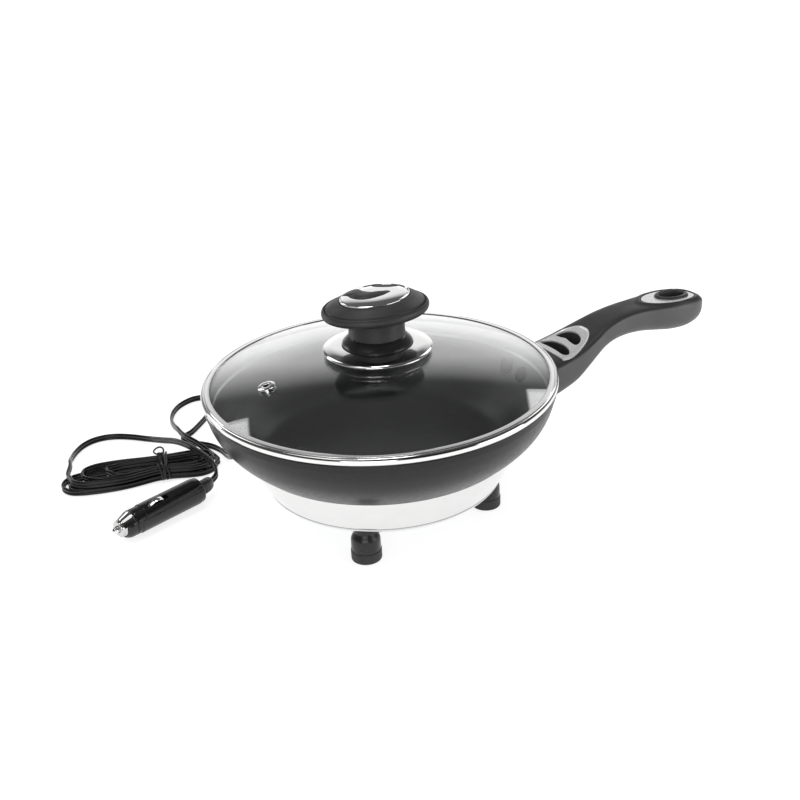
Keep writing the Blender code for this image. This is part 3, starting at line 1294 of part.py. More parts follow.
def build_tie():
    """The twist tie: a thin band wound round the bundle at its waist, flat on the floor."""
    corner = CORD_THICK / 2 + TIE_ROOM
    half = HANK_RADIUS * (1 - HANK_WAIST) + corner
    top = CORD_REST + TIE_SHEET + LAYER_RISE + CORD_WIDTH / 2 + TIE_ROOM
    outer = loop_across(half + TIE_SHEET, 0, top + TIE_SHEET, corner + TIE_SHEET)
    inner = loop_across(half, TIE_SHEET, top, corner)
    rings = [[(x, y, z) for y, z in loop] for x, loop in (
        (-TIE_WIDTH / 2, outer), (TIE_WIDTH / 2, outer), (TIE_WIDTH / 2, inner), (-TIE_WIDTH / 2, inner),
    )]
    frame = Matrix.Translation((*HANK_CENTRE, 0)) @ Matrix.Rotation(HANK_ANGLE, 4, "Z")
    frame = frame @ Matrix.Translation((HANK_WAIST_PLACE, 0, 0))
    place("twist_tie", lofted(rings, closed=True), "black_plastic", frame)


def loop_across(half, low, high, corner, count=5):
    """A flat loop across the bundle whose corners are quarter circles."""
    points = []
    for quarter, (across, up) in enumerate(((1, 1), (-1, 1), (-1, -1), (1, -1))):
        y = across * (half - corner)
        z = (low + high) / 2 + up * ((high - low) / 2 - corner)
        for turn in np.linspace(quarter, quarter + 1, count) * math.pi / 2:
            points.append((y + corner * math.cos(turn), z + corner * math.sin(turn)))
    return points


def plug_frame():
    """A frame at the plug's tip: Z runs along the plug towards its cord end, X is up."""
    along = Vector((math.cos(PLUG_ANGLE), math.sin(PLUG_ANGLE), 0))
    up = Vector((0, 0, 1))
    side = along.cross(up)
    turn = Matrix((up, side, along)).transposed().to_4x4()
    return Matrix.Translation((*PLUG_TIP, PLUG_RADIUS + PLUG_LIFT)) @ turn


def relief_path():
    """The plug relief's centreline as points and directions: straight out of the plug, then a bend."""
    frame = plug_frame()
    along = np.array(frame.to_3x3() @ Vector((0, 0, 1)))
    point = np.array(frame @ Vector((0, 0, PLUG_LENGTH + FIT_GAP)))
    step = RELIEF_LENGTH / 5
    path = [(point, along)]
    for turn in (0.0, 0.25, 0.6, 0.9, 1.0):
        angle = PLUG_ANGLE + RELIEF_BEND * turn
        direction = np.array([math.cos(angle), math.sin(angle), 0])
        point = point + direction * step
        path.append((point, direction))
    return path


def contact_frame(turn):
    """A frame at a side contact: X points out of the body, Z along the plug."""
    roll = Matrix.Rotation(math.pi / 2 - CONTACT_ROLL + turn, 4, "Z")
    return plug_frame() @ roll @ Matrix.Translation((0, 0, CONTACT_PLACE))


def build_plug():
    frame = plug_frame()
    bore_end = PLUG_LENGTH - PLUG_END_WALL
    mouth = NOSE_SPIGOT + FIT_GAP
    soft = PLUG_RADIUS - PLUG_BORE
    relief_bore = RELIEF_SPIGOT + FIT_GAP
    outline = [
        (mouth, PLUG_SHOULDER), (PLUG_RADIUS - NOSE_WALL / 2, PLUG_SHOULDER),
        (PLUG_RADIUS, PLUG_SHOULDER + NOSE_WALL), (PLUG_RADIUS, PLUG_LENGTH - soft / 2),
        (PLUG_RADIUS - soft / 5, PLUG_LENGTH - soft / 6),
        (PLUG_RADIUS - soft / 2, PLUG_LENGTH), (relief_bore, PLUG_LENGTH), (relief_bore, bore_end),
        (PLUG_BORE, bore_end), (PLUG_BORE, PLUG_SHOULDER + NOSE_SPIGOT), (mouth, PLUG_SHOULDER + NOSE_SPIGOT),
    ]
    body = place("plug_body", turned(outline, 18), "gloss_black", frame)
    for name, turn in (("upper", 0.0), ("lower", math.pi)):
        depth = PLUG_RADIUS + CONTACT_PROUD
        size = (depth, CONTACT_WIDTH + 2 * SLIDE_GAP, CONTACT_LENGTH + 2 * SLIDE_GAP)
        slot = box_solid(size, ((PLUG_BORE + depth) / 2, 0, 0))
        cut(body, place(f"contact_slot_{name}", slot, None, contact_frame(turn), cutter=True))
        build_contact(name, turn)

    thread_end = PLUG_SHOULDER + NOSE_SPIGOT - FIT_GAP - NOSE_WALL
    front = PLUG_SHOULDER - FIT_GAP
    collar = PLUG_RADIUS - NOSE_WALL / 2
    hole = TIP_RADIUS + SLIDE_GAP
    seat = NOSE_SMALL_END + NOSE_WALL
    inner = NOSE_SPIGOT - NOSE_WALL
    outline = [
        (hole, NOSE_SMALL_END), (NOSE_SMALL_RADIUS - NOSE_WALL / 2, NOSE_SMALL_END),
        (NOSE_SMALL_RADIUS, NOSE_SMALL_END + NOSE_WALL / 2),
        (NOSE_SMALL_RADIUS, NOSE_SMALL_END + 2 * NOSE_WALL),
        (collar, front - NOSE_WALL), (collar, front), (NOSE_SPIGOT, front), (NOSE_SPIGOT, thread_end),
        (inner, thread_end), (inner, front - 2 * NOSE_WALL), (NOSE_SMALL_RADIUS - NOSE_WALL, seat),
        (hole, seat),
    ]
    place("plug_nose", turned(outline, 18), "polished_steel", frame)

    flange_low = seat + FIT_GAP
    flange_high = flange_low + NOSE_WALL
    outline = [
        (0, 0), (TIP_POINT_RADIUS, 0), (TIP_RADIUS, TIP_RADIUS - TIP_POINT_RADIUS), (TIP_RADIUS, flange_low),
        (TIP_FLANGE, flange_low), (TIP_FLANGE, flange_high), (TIP_RADIUS, flange_high),
        (TIP_RADIUS, flange_high + TIP_RADIUS), (0, flange_high + TIP_RADIUS),
    ]
    place("plug_tip", turned(outline, 14), "polished_steel", frame)

    spring_start = flange_high + FIT_GAP
    share = np.linspace(0, 1, SPRING_TURNS * 8 + 1)
    turn = share * math.tau * SPRING_TURNS
    rise = spring_start + SPRING_WIRE + share * (SPRING_LENGTH - 2 * SPRING_WIRE)
    coil = np.stack([SPRING_RADIUS * np.cos(turn), SPRING_RADIUS * np.sin(turn), rise], axis=1)
    placed = [tuple(frame @ Vector(point)) for point in coil]
    wire("plug_spring", placed, SPRING_WIRE, "galvanised_steel", sides=0)

    fuse_low = spring_start + SPRING_LENGTH + FIT_GAP
    fuse_top = fuse_low + FUSE_LENGTH
    thin = FUSE_RADIUS * 0.88
    ferrule = 2 * FUSE_RADIUS
    outline = [
        (0, fuse_low), (FUSE_RADIUS, fuse_low), (FUSE_RADIUS, fuse_low + ferrule), (thin, fuse_low + ferrule),
        (thin, fuse_top - ferrule), (FUSE_RADIUS, fuse_top - ferrule), (FUSE_RADIUS, fuse_top), (0, fuse_top),
    ]
    place("plug_fuse", turned(outline, 12), "fuse_glass", frame)

    holder_low = fuse_top + FIT_GAP
    wall = 2 * CONTACT_SHEET
    cup = FUSE_RADIUS + FIT_GAP
    wall_low = holder_low - FUSE_RADIUS / 2
    web = PLUG_BORE - FIT_GAP
    outline = [
        (cup, wall_low), (cup + wall, wall_low), (cup + wall, holder_low), (web, holder_low),
        (web, holder_low + wall), (0, holder_low + wall), (0, holder_low), (cup, holder_low),
    ]
    place("fuse_holder", turned(outline, 14), "brass", frame)
    build_relief(frame, bore_end)


def build_contact(name, turn):
    """A side contact: a leaf that arches out of its slot, with a foot inside the bore at each end."""
    half = CONTACT_LENGTH / 2
    foot = PLUG_BORE - FIT_GAP - FIT_GAP - CONTACT_SHEET
    peak = PLUG_RADIUS + CONTACT_PROUD - CONTACT_SHEET
    leaf = [(foot, -half - CONTACT_FOOT)]
    for share in np.linspace(-1, 1, 13):
        leaf.append((foot + (peak - foot) * math.cos(share * math.pi / 2) ** 1.2, share * half))
    leaf.append((foot, half + CONTACT_FOOT))
    run = np.gradient(np.array(leaf), axis=0)
    run /= np.linalg.norm(run, axis=1)[:, None]
    outer = np.array(leaf) + CONTACT_SHEET * np.stack([run[:, 1], -run[:, 0]], axis=1)
    rings = []
    for y in (-CONTACT_WIDTH / 2, CONTACT_WIDTH / 2):
        rings.append([(x, y, z) for x, z in leaf] + [(x, y, z) for x, z in outer[::-1]])
    place(f"side_contact_{name}", lofted(rings), "polished_steel", contact_frame(turn))


def cord_section(point, direction, width, height, fullness, count=14):
    """A rounded upright section of the cord or its relief, square to its direction."""
    side = np.array([-direction[1], direction[0], 0])
    ring = []
    for k in range(count):
        turn = math.tau * k / count
        c, s = math.cos(turn), math.sin(turn)
        across = width / 2 * math.copysign(abs(c) ** fullness, c)
        up = height / 2 * math.copysign(abs(s) ** fullness, s)
        ring.append(tuple(point + side * across + np.array([0, 0, up])))
    return ring


def build_relief(frame, bore_end):
    """The cord relief behind the plug: a bent block that tapers to the cord, on a round flanged spigot."""
    rings = []
    along = relief_path()[0][1]
    flange_low = bore_end - FIT_GAP - RELIEF_FLANGE_THICK
    for radius, s in ((RELIEF_FLANGE, flange_low), (RELIEF_FLANGE, bore_end - FIT_GAP),
                      (RELIEF_SPIGOT, bore_end - FIT_GAP), (RELIEF_SPIGOT, PLUG_LENGTH + FIT_GAP)):
        rings.append(cord_section(np.array(frame @ Vector((0, 0, s))), along, 2 * radius, 2 * radius, 1.0))
    for (point, direction), taper in zip(relief_path(), (0.0, 0.0, 0.1, 0.35, 0.7, 1.0)):
        width = RELIEF_WIDTH + (CORD_THICK * 1.5 - RELIEF_WIDTH) * taper
        height = RELIEF_HEIGHT + (CORD_WIDTH * 1.2 - RELIEF_HEIGHT) * taper
        rings.append(cord_section(point, direction, width, height, 0.6))
    place("plug_relief", lofted(rings), "black_plastic")


def main():
    clear_scene()
    pan = bpy.data.objects.new("pan_axis", None)
    bpy.context.scene.collection.objects.link(pan)
    pan.location = (PAN_X, 0, 0)
    lid = bpy.data.objects.new("lid_axis", None)
    bpy.context.scene.collection.objects.link(lid)
    lid.location = (PAN_X, 0, 0)
    build_bowl(pan)
    build_rivets(pan)
    build_bracket(pan)
    build_handle(pan)
    build_base(pan)
    build_legs(pan)
    build_bushing(pan)
    build_glass(lid)
    build_band(lid)
    build_vent(lid)
    build_knob(lid)
    build_cord()
    build_plug()


main()
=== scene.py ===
# %% [markdown]
# # A plug-in frying pan with a loose glass lid
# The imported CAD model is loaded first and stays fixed. Every shown surface is then dressed round it: either
# the CAD solid itself with a better finish, or a finer shape that stands where the solid stands.
# All lengths are metres, the floor is z = 0 and the handle points along +X.

import math

import bmesh
import bpy
import numpy as np
from mathutils import Matrix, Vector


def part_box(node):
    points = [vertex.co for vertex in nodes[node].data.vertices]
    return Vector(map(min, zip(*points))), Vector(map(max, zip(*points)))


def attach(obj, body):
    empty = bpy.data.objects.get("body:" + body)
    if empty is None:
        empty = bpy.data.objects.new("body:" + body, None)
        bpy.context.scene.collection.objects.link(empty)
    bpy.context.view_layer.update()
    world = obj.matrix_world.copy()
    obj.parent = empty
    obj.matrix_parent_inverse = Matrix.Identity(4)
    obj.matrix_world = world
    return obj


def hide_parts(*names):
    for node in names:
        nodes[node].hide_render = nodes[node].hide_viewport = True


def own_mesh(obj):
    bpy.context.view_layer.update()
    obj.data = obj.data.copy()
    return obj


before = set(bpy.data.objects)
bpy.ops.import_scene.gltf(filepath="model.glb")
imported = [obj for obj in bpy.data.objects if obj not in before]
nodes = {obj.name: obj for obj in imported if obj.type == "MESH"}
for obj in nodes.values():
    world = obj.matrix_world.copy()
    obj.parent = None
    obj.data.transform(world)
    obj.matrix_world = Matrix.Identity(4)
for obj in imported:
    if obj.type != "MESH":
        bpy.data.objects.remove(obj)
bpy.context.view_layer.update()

# %% [markdown]
# ## The camera
# The picture was taken from a little above, across the near side of the pan. A camera is a place, a direction
# and a lens; a small roll tilts it, as a hand-set tripod does. Its three axes and its place fill one matrix,
# and the same kind of matrix places lamps and slanting pieces further on.

# %% Directions and places
UP = np.array([0.0, 0.0, 1.0])


def unit(vector):
    """A vector, or each row of vectors, divided by its own length."""
    return vector / np.linalg.norm(vector, axis=-1, keepdims=True)


def heading(azimuth, elevation):
    """The direction at a compass angle and a height angle, both in degrees."""
    turn, rise = math.radians(azimuth), math.radians(elevation)
    return np.array([math.cos(turn) * math.cos(rise), math.sin(turn) * math.cos(rise), math.sin(rise)])


def frame_of(origin, x_axis, y_axis, z_axis):
    """A 4 by 4 place matrix from its origin and its three axes."""
    place = np.eye(4)
    place[:3, 0], place[:3, 1], place[:3, 2], place[:3, 3] = x_axis, y_axis, z_axis, origin
    return place


def new_object(name, data):
    """A new object with this data, linked into the scene."""
    item = bpy.data.objects.new(name, data)
    bpy.context.scene.collection.objects.link(item)
    return item


print("north-east and level is", np.round(heading(45, 0), 3))

# %% [markdown]
# ### Setting it up
# The view goes slightly down and across. With the level right-hand direction and the one above it, a turn by the
# roll angle gives the picture's own right and up; a camera looks along its own -Z.

# %% Camera
EYE = (-0.4077, -0.6587, 0.4361)
AIM = heading(62.9, -25.52)
CAMERA_ROLL = -0.0497
SENSOR_WIDTH, LENS_LENGTH = 36.0, 49.5
level_right = unit(np.cross(AIM, UP))
level_up = np.cross(level_right, AIM)
right = level_right * math.cos(CAMERA_ROLL) + level_up * math.sin(CAMERA_ROLL)
over = level_up * math.cos(CAMERA_ROLL) - level_right * math.sin(CAMERA_ROLL)
camera = new_object("camera", bpy.data.cameras.new("camera"))
camera.data.sensor_width, camera.data.lens = SENSOR_WIDTH, LENS_LENGTH
camera.matrix_world = Matrix(frame_of(EYE, right, over, -AIM).tolist())
bpy.context.scene.camera = camera
print("camera looks along", np.round(AIM, 3))

# %% [markdown]
# ## Finishes
# A finish is one Principled shader with a few fields that change over the surface: a little colour, a little
# roughness and a fine relief. The maths between nodes reads best as Python, so a small class wraps a socket
# and its operators add the Math nodes.

# %% A shader's maths as Python
class Field:
    """A value that changes over a surface, held as one socket; each operator adds one Math node."""

    def __init__(self, finish, socket):
        self.finish, self.socket = finish, socket

    def maths(self, operation, *values):
        return self.finish.node("ShaderNodeMath", {"operation": operation}, dict(enumerate(values)))

    def __add__(self, other):
        return self.maths("ADD", self, other)

    def __mul__(self, other):
        return self.maths("MULTIPLY", self, other)

    def __sub__(self, other):
        return self.maths("SUBTRACT", self, other)

    def __rsub__(self, other):
        return self.maths("SUBTRACT", other, self)

    __radd__, __rmul__ = __add__, __mul__


# %% [markdown]
# ### Nodes
# One method adds any node: its kind, then the settings that shape it, then the values or links of its sockets.
# The few patterns used again and again, such as noise, a ramp and a mix of two colours, are built on it.
# Noise is read at the object's own coordinates, in metres, so a grain has its real size on every piece.

# %% A tree of nodes
class Finish:
    """A node tree with its main shader. node() adds a node: its settings first, then its sockets."""

    def __init__(self, tree, shader):
        self.tree, self.shader = tree, tree.nodes[shader]

    def put(self, node, values):
        for key, value in values.items():
            if isinstance(value, Field):
                self.tree.links.new(value.socket, node.inputs[key])
            else:
                node.inputs[key].default_value = value

    def node(self, kind, settings=None, values=None, out=0):
        node = self.tree.nodes.new(kind)
        for key, value in (settings or {}).items():
            setattr(node, key, value)
        self.put(node, values or {})
        return Field(self, node.outputs[out])

    def grain(self, per_metre, detail=2.0, stretch=(1, 1, 1)):
        """Noise from 0 to 1 with about per_metre lumps in a metre; stretch changes that along an axis."""
        where = self.node("ShaderNodeTexCoord", out="Object")
        scale = tuple(per_metre * share for share in stretch)
        spot = self.node("ShaderNodeMapping", None, {"Vector": where, "Scale": scale})
        return self.node("ShaderNodeTexNoise", None, {"Vector": spot, "Scale": 1.0, "Detail": detail})

    def ramp(self, field, low, high, start=0.35, end=0.65):
        """The field's stretch from start to end, mapped in a straight line to low and high."""
        values = {"Value": field, "From Min": start, "From Max": end, "To Min": low, "To Max": high}
        return self.node("ShaderNodeMapRange", None, values)

    def tint(self, field, first, second):
        """A colour between two, by a field from 0 to 1."""
        values = {0: field, 6: (*first, 1.0), 7: (*second, 1.0)}
        return self.node("ShaderNodeMix", {"data_type": "RGBA"}, values, out=2)

    def carried(self, name):
        """A value that the mesh carries on its points under this name, and 0 on a mesh without it."""
        return self.node("ShaderNodeAttribute", {"attribute_name": name}, out="Fac")

    def relief(self, height):
        """A normal that leans as a surface with this height in metres would."""
        return self.node("ShaderNodeBump", None, {"Strength": 1.0, "Distance": 1.0, "Height": height})


# %% [markdown]
# ### Two recipes
# Values that are the same all over go on the shader itself. The common recipe adds the rest: colour that drifts
# slowly, roughness that drifts faster, and a fine relief. Even new plastic has all three, faintly.

# %% Recipes
finishes = {}


def new_finish(slot, **constants):
    """A material for one of the record's slots, with values that are the same all over set on the shader."""
    material = bpy.data.materials.new(slot + "_finish")
    material.use_nodes = True
    finish = Finish(material.node_tree, "Principled BSDF")
    finish.material = material
    finish.put(finish.shader, {key.replace("_", " "): value for key, value in constants.items()})
    finishes[slot] = finish
    return finish


def surface(slot, dark, light, rough, grain, depth, drift=14.0, **constants):
    """A finish with a slow drift between two colours and two roughnesses, and a fine grain of some depth."""
    finish = new_finish(slot, **constants)
    slow = finish.grain(drift, 3.0)
    fine = finish.grain(grain)
    shade = finish.ramp(slow * 0.7 + fine * 0.3, 0.0, 1.0)
    values = {
        "Base Color": finish.tint(shade, dark, light),
        "Roughness": finish.ramp(finish.grain(drift * 5, 4.0), *rough),
        "Normal": finish.relief(fine * depth),
    }
    finish.put(finish.shader, values)
    return finish


# %% [markdown]
# ### Plastics, rubber and the cord's sleeve
# Moulded plastic shows the mould's own fine texture, soft-touch paint is duller and greyer, and a polished
# moulding still has a slight ripple. They differ in grain size, depth and roughness, so one recipe makes them.
# The grip's flanks get painted light, a paler colour for the light they catch: the grip's mesh carries that as a
# value on its points.

# %% Plastics and rubbers
grip_paint = surface("soft_touch_black", (0.024, 0.024, 0.025), (0.032, 0.032, 0.033), (0.42, 0.52), 4200, 0.000012)
painted_flank_light = grip_paint.carried("painted_flank_light")
patchy_sheen = grip_paint.ramp(grip_paint.grain(30, 3.0), 0.9, 1.0)
# Painted light: the flanks are coloured paler, a little unevenly, for the light they catch.
grip_paint.put(grip_paint.shader, {
    "Base Color": grip_paint.tint(painted_flank_light * patchy_sheen, (0.025, 0.025, 0.026), (0.085, 0.085, 0.087)),
})
surface("gloss_black", (0.0070, 0.0070, 0.0075), (0.0110, 0.0110, 0.0115), (0.17, 0.26), 300, 0.000008)
surface("black_plastic", (0.012, 0.012, 0.013), (0.022, 0.022, 0.023), (0.24, 0.34), 2600, 0.000010,
        Specular_IOR_Level=0.40)
surface("rubber", (0.014, 0.014, 0.015), (0.026, 0.026, 0.027), (0.52, 0.66), 3200, 0.000016)
surface("silicone", (0.070, 0.070, 0.072), (0.095, 0.095, 0.098), (0.42, 0.55), 2400, 0.000006)
surface("cord_vinyl", (0.0030, 0.0030, 0.0032), (0.0060, 0.0060, 0.0063), (0.16, 0.24), 900, 0.000008,
        Specular_IOR_Level=0.36)
surface("wire_sleeve", (0.36, 0.035, 0.03), (0.46, 0.055, 0.045), (0.45, 0.60), 2400, 0.000006)
surface("insulation", (0.55, 0.51, 0.43), (0.72, 0.68, 0.59), (0.80, 0.95), 1500, 0.00012)
surface("fuse_glass", (0.52, 0.55, 0.53), (0.66, 0.68, 0.66), (0.08, 0.16), 400, 0.000004)
print(len(finishes), "plastic finishes")

# %% [markdown]
# ### Metals
# Polished steel is all reflection, so what makes it real is a very slight waviness and faint smears in the
# roughness. A value on the points darkens it: painted shade along the drum's bead and lower edge and along the band's
# shoulder and flange edge, and an even duller tone all over the plug's nose. The
# handle's satin leaves are silvery paint with a drawn grain, so only half metallic. Zinc plate is cloudy.

# %% Metals
steel = new_finish("polished_steel", Metallic=1.0)
smear = steel.grain(60, 5.0)
# Painted shade: the 'groove' value darkens the steel on the drum and the band; on the nose it is an even duller tone.
dullness_and_painted_shade = steel.carried("groove")
steel.put(steel.shader, {
    "Base Color": steel.tint(smear * 0.12 + 0.88 - dullness_and_painted_shade * 0.80, (0.26, 0.26, 0.26), (0.84, 0.84, 0.835)),
    "Roughness": steel.ramp(smear, 0.055, 0.12),
    "Normal": steel.relief(steel.grain(26, 1.0) * 0.00010),
})

satin = new_finish("brushed_aluminium", Metallic=0.5)
strokes = satin.grain(220, 3.0, (1.0, 22.0, 22.0))
satin.put(satin.shader, {
    "Base Color": satin.tint(strokes, (0.70, 0.70, 0.70), (0.80, 0.80, 0.795)),
    "Roughness": satin.ramp(strokes, 0.24, 0.36),
    "Normal": satin.relief(strokes * 0.000010),
})

surface("galvanised_steel", (0.40, 0.41, 0.42), (0.56, 0.57, 0.58), (0.30, 0.48), 700, 0.00001, 90, Metallic=1.0)
surface("brass", (0.58, 0.42, 0.17), (0.70, 0.52, 0.23), (0.22, 0.36), 900, 0.000006, 60, Metallic=1.0)
surface("heater_sheath", (0.13, 0.13, 0.135), (0.22, 0.215, 0.21), (0.40, 0.55), 900, 0.00002, 60, Metallic=0.9)
print(len(finishes), "finishes so far")

# %% [markdown]
# ### The pan's coating and the lid's glass
# The coating is a satin charcoal paint with very small flecks, baked on cast metal. Where the lid sits and up
# the inside wall it is painted paler and more metallic, as painted light, which the bowl's mesh carries as a value on
# its points. Toughened glass is never quite flat, so it gets a long, shallow ripple, and a few smears where hands
# touched it.

# %% Coating and glass
coat = new_finish("coated_aluminium", Coat_Weight=0.14, Coat_Roughness=0.24, Specular_IOR_Level=0.24)
painted_inner_light = coat.carried("painted_inner_light")
speck = coat.ramp(coat.grain(2600, 1.0), 0.0, 1.0, 0.62, 0.74)
# Painted light: the lid's seat and the upper inside wall are coloured paler and more metallic for the light they
# catch.
coat.put(coat.shader, {
    "Base Color": coat.tint(speck * 0.06 + painted_inner_light * 0.80, (0.017, 0.017, 0.018), (0.640, 0.640, 0.645)),
    "Metallic": coat.ramp(speck * 0.2 + painted_inner_light, 0.05, 0.85, 0.5, 1.0),
    "Roughness": coat.ramp(coat.grain(300, 3.0), 0.32, 0.40),
    "Normal": coat.relief(coat.grain(1900) * 0.000014),
})

glass = new_finish("clear_glass", Transmission_Weight=1.0, IOR=1.52, Coat_Weight=1.0, Coat_Roughness=0.02)
touch = glass.ramp(glass.grain(70, 5.0), 0.0, 0.03, 0.45, 0.75)
glass.put(glass.shader, {
    "Base Color": glass.tint(touch * 8, (0.965, 0.980, 0.975), (0.94, 0.95, 0.95)),
    "Roughness": touch,
    "Normal": glass.relief(glass.grain(14, 0.0) * 0.00012),
})
print(len(finishes), "finishes in all")

# %% [markdown]
# ## Making surfaces
# Nearly every piece here is a profile carried round an axis or along a path. The points are worked out as one
# array, rows along the profile and columns round it, and the faces join each point to its three neighbours.
# Merging doubled points closes the poles and seams, and turning all faces outwards comes after that.

# %% Skins and pieces
WELD = 0.000001
SMOOTH_ANGLE = math.radians(38)


def skin(grid, round_rows=False, caps=False):
    """A grid's points and faces; round_rows joins the last row to the first, caps closes both end rings."""
    rows, columns = grid.shape[:2]
    row = np.arange(rows if round_rows else rows - 1)[:, None]
    column = np.arange(columns)[None]
    after, beside = (row + 1) % rows, (column + 1) % columns
    quads = [row * columns + column, row * columns + beside, after * columns + beside, after * columns + column]
    faces = np.stack(np.broadcast_arrays(*quads), -1).reshape(-1, 4).tolist()
    if caps:
        faces += [list(range(columns)), list(range((rows - 1) * columns, rows * columns))]
    return grid.reshape(-1, 3), faces


def raw_mesh(name, skins):
    """One mesh from several skins, with doubled points merged and its faces turned outwards."""
    points, faces, first = [], [], 0
    for spots, quads in skins:
        points.append(spots)
        faces += [[first + corner for corner in face] for face in quads]
        first += len(spots)
    mesh = bpy.data.meshes.new(name)
    mesh.from_pydata(np.vstack(points), [], faces)
    work = bmesh.new()
    work.from_mesh(mesh)
    bmesh.ops.remove_doubles(work, verts=work.verts, dist=WELD)
    bmesh.ops.recalc_face_normals(work, faces=work.faces)
    work.to_mesh(mesh)
    work.free()
    return mesh


def smooth(mesh):
    """Shades a mesh smooth, with a sharp edge wherever two faces meet at more than the smoothing angle."""
    mesh.shade_smooth()
    mesh.set_sharp_from_angle(angle=SMOOTH_ANGLE)


def piece(name, skins, slot, stands_for=(), body="root"):
    """Puts skins into the scene as one piece with its finish, its body and the solids it stands for."""
    item = new_object(name, raw_mesh(name, skins))
    smooth(item.data)
    item.data.materials.append(finishes[slot].material)
    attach(item, body)
    if stands_for:
        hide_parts(*stands_for)
    print(f"{name}: {len(item.data.polygons)} faces")
    return item


# %% [markdown]
# ## The cord
# The lead is a flat twin cord that stands on its edge: two round cores joined by a thin web. It leaves the
# base, turns back behind the pan, loops once, goes round the hank four and a half times and comes back over
# the hank to the plug. Its route is a list of points; a smooth curve goes through them, and the same curve
# read off at even steps carries the section later on.

# %% Curves and places
def through(points, steps=8, closed=False):
    """A smooth curve through points: between two of them a cubic whose end slopes are half the steps
    between their neighbours."""
    points = np.asarray(points, float)
    ends = (points[-1:], points[:2]) if closed else ([2 * points[0] - points[1]], [2 * points[-1] - points[-2]])
    padded = np.vstack([ends[0], points, ends[1]])
    before, start, end, after = (padded[k:len(padded) - 3 + k, None] for k in range(4))
    share = np.linspace(0, 1, steps, endpoint=False)[None, :, None]
    curve = 0.5 * (2 * start + (end - before) * share + (2 * before - 5 * start + 4 * end - after) * share**2
                   + (3 * start - before - 3 * end + after) * share**3).reshape(-1, points.shape[1])
    return curve if closed else np.vstack([curve, points[-1:]])


def evenly(points, step):
    """The same curve read off at even steps along its length."""
    along = np.concatenate([[0], np.cumsum(np.linalg.norm(np.diff(points, axis=0), axis=1))])
    wanted = np.linspace(0, along[-1], max(2, round(along[-1] / step)) + 1)
    return np.stack([np.interp(wanted, along, column) for column in points.T], axis=1)


def placed(grid, place):
    """Points of a grid carried by a 4 by 4 place matrix."""
    return grid @ place[:3, :3].T + place[:3, 3]


def turn_about_z(angle, x=0.0, y=0.0):
    """A place matrix: a turn about Z, then a move on the floor."""
    c, s = math.cos(angle), math.sin(angle)
    return frame_of((x, y, 0), (c, s, 0), (-s, c, 0), UP)


print("three points make a curve of", len(through([(0, 0), (1, 1), (2, 0)])), "points")

# %% [markdown]
# ### Where the cord leaves the base
# The route starts at the guard in the drum's wall, so the drum's slant is needed first. These measures are
# the CAD model's own, and later pieces share them.

# %% The cord's exit
CORD_WIDTH, CORD_THICK = 0.0056, 0.0028
FIT_GAP = 0.0003
PAN_X = -0.0865
DRUM_BOTTOM, DRUM_TOP = 0.0280, 0.0566
DRUM_BOTTOM_RADIUS, DRUM_TOP_RADIUS = 0.08777, 0.10217
BUSHING_REACH = 0.0220
CORD_EXIT_HEIGHT, CORD_EXIT_ANGLE = 0.0416, math.radians(135)


def leaning_place(spot, flat, lean):
    """A place on a wall that leans outwards going up: Z straight out of it, from the level direction flat."""
    outwards = flat * math.cos(lean) - UP * math.sin(lean)
    beside = unit(np.cross(UP, outwards))
    return frame_of(spot, np.cross(beside, outwards), beside, outwards)


def drum_radius(height):
    """The radius of the drum's wall, which widens in a straight line from bottom to top."""
    return float(np.interp(height, (DRUM_BOTTOM, DRUM_TOP), (DRUM_BOTTOM_RADIUS, DRUM_TOP_RADIUS)))


def drum_face_place(angle, height):
    """A place on the drum's face whose Z points straight out of the slanting wall."""
    lean = math.atan2(DRUM_TOP_RADIUS - DRUM_BOTTOM_RADIUS, DRUM_TOP - DRUM_BOTTOM)
    flat = np.array([math.cos(angle), math.sin(angle), 0])
    return leaning_place(flat * drum_radius(height) + np.array([PAN_X, 0, height]), flat, lean)


exit_place = drum_face_place(CORD_EXIT_ANGLE, CORD_EXIT_HEIGHT)
exit_way = exit_place[:3, 2]
cord_start = exit_place[:3, 3] + exit_way * (BUSHING_REACH + FIT_GAP)
print("the cord leaves its guard at", np.round(cord_start, 4))

# %% [markdown]
# ### The lead and the tail
# The lead runs from the base to the hank and the tail from the hank to the plug. Both lie as they fell, so each
# is a list of points. Where one passes over something it rises and comes down again in a low hump.

# %% The lead and the tail
LEAD_ROUTE = (
    (-0.1685, 0.0990, 0.0220), (-0.1690, 0.1160, 0.0115), (-0.1680, 0.1310, 0.0050),
    (-0.1680, 0.1450, 0.0031), (-0.1720, 0.1570, 0.0031), (-0.1795, 0.1670, 0.0031),
    (-0.1870, 0.1745, 0.0031), (-0.1903, 0.1815, 0.0031), (-0.1870, 0.1880, 0.0031),
    (-0.1790, 0.1925, 0.0031), (-0.1690, 0.2020, 0.0031), (-0.1570, 0.2150, 0.0031),
    (-0.1450, 0.2295, 0.0031), (-0.1385, 0.2430, 0.0031), (-0.1430, 0.2540, 0.0031),
    (-0.1550, 0.2580, 0.0031), (-0.1690, 0.2520, 0.0031), (-0.1797, 0.2405, 0.0031),
    (-0.1865, 0.2250, 0.0034), (-0.1893, 0.2080, 0.0060), (-0.1902, 0.1930, 0.0092),
    (-0.1903, 0.1810, 0.0100), (-0.1880, 0.1700, 0.0098), (-0.1840, 0.1600, 0.0085),
    (-0.1795, 0.1490, 0.0050),
)
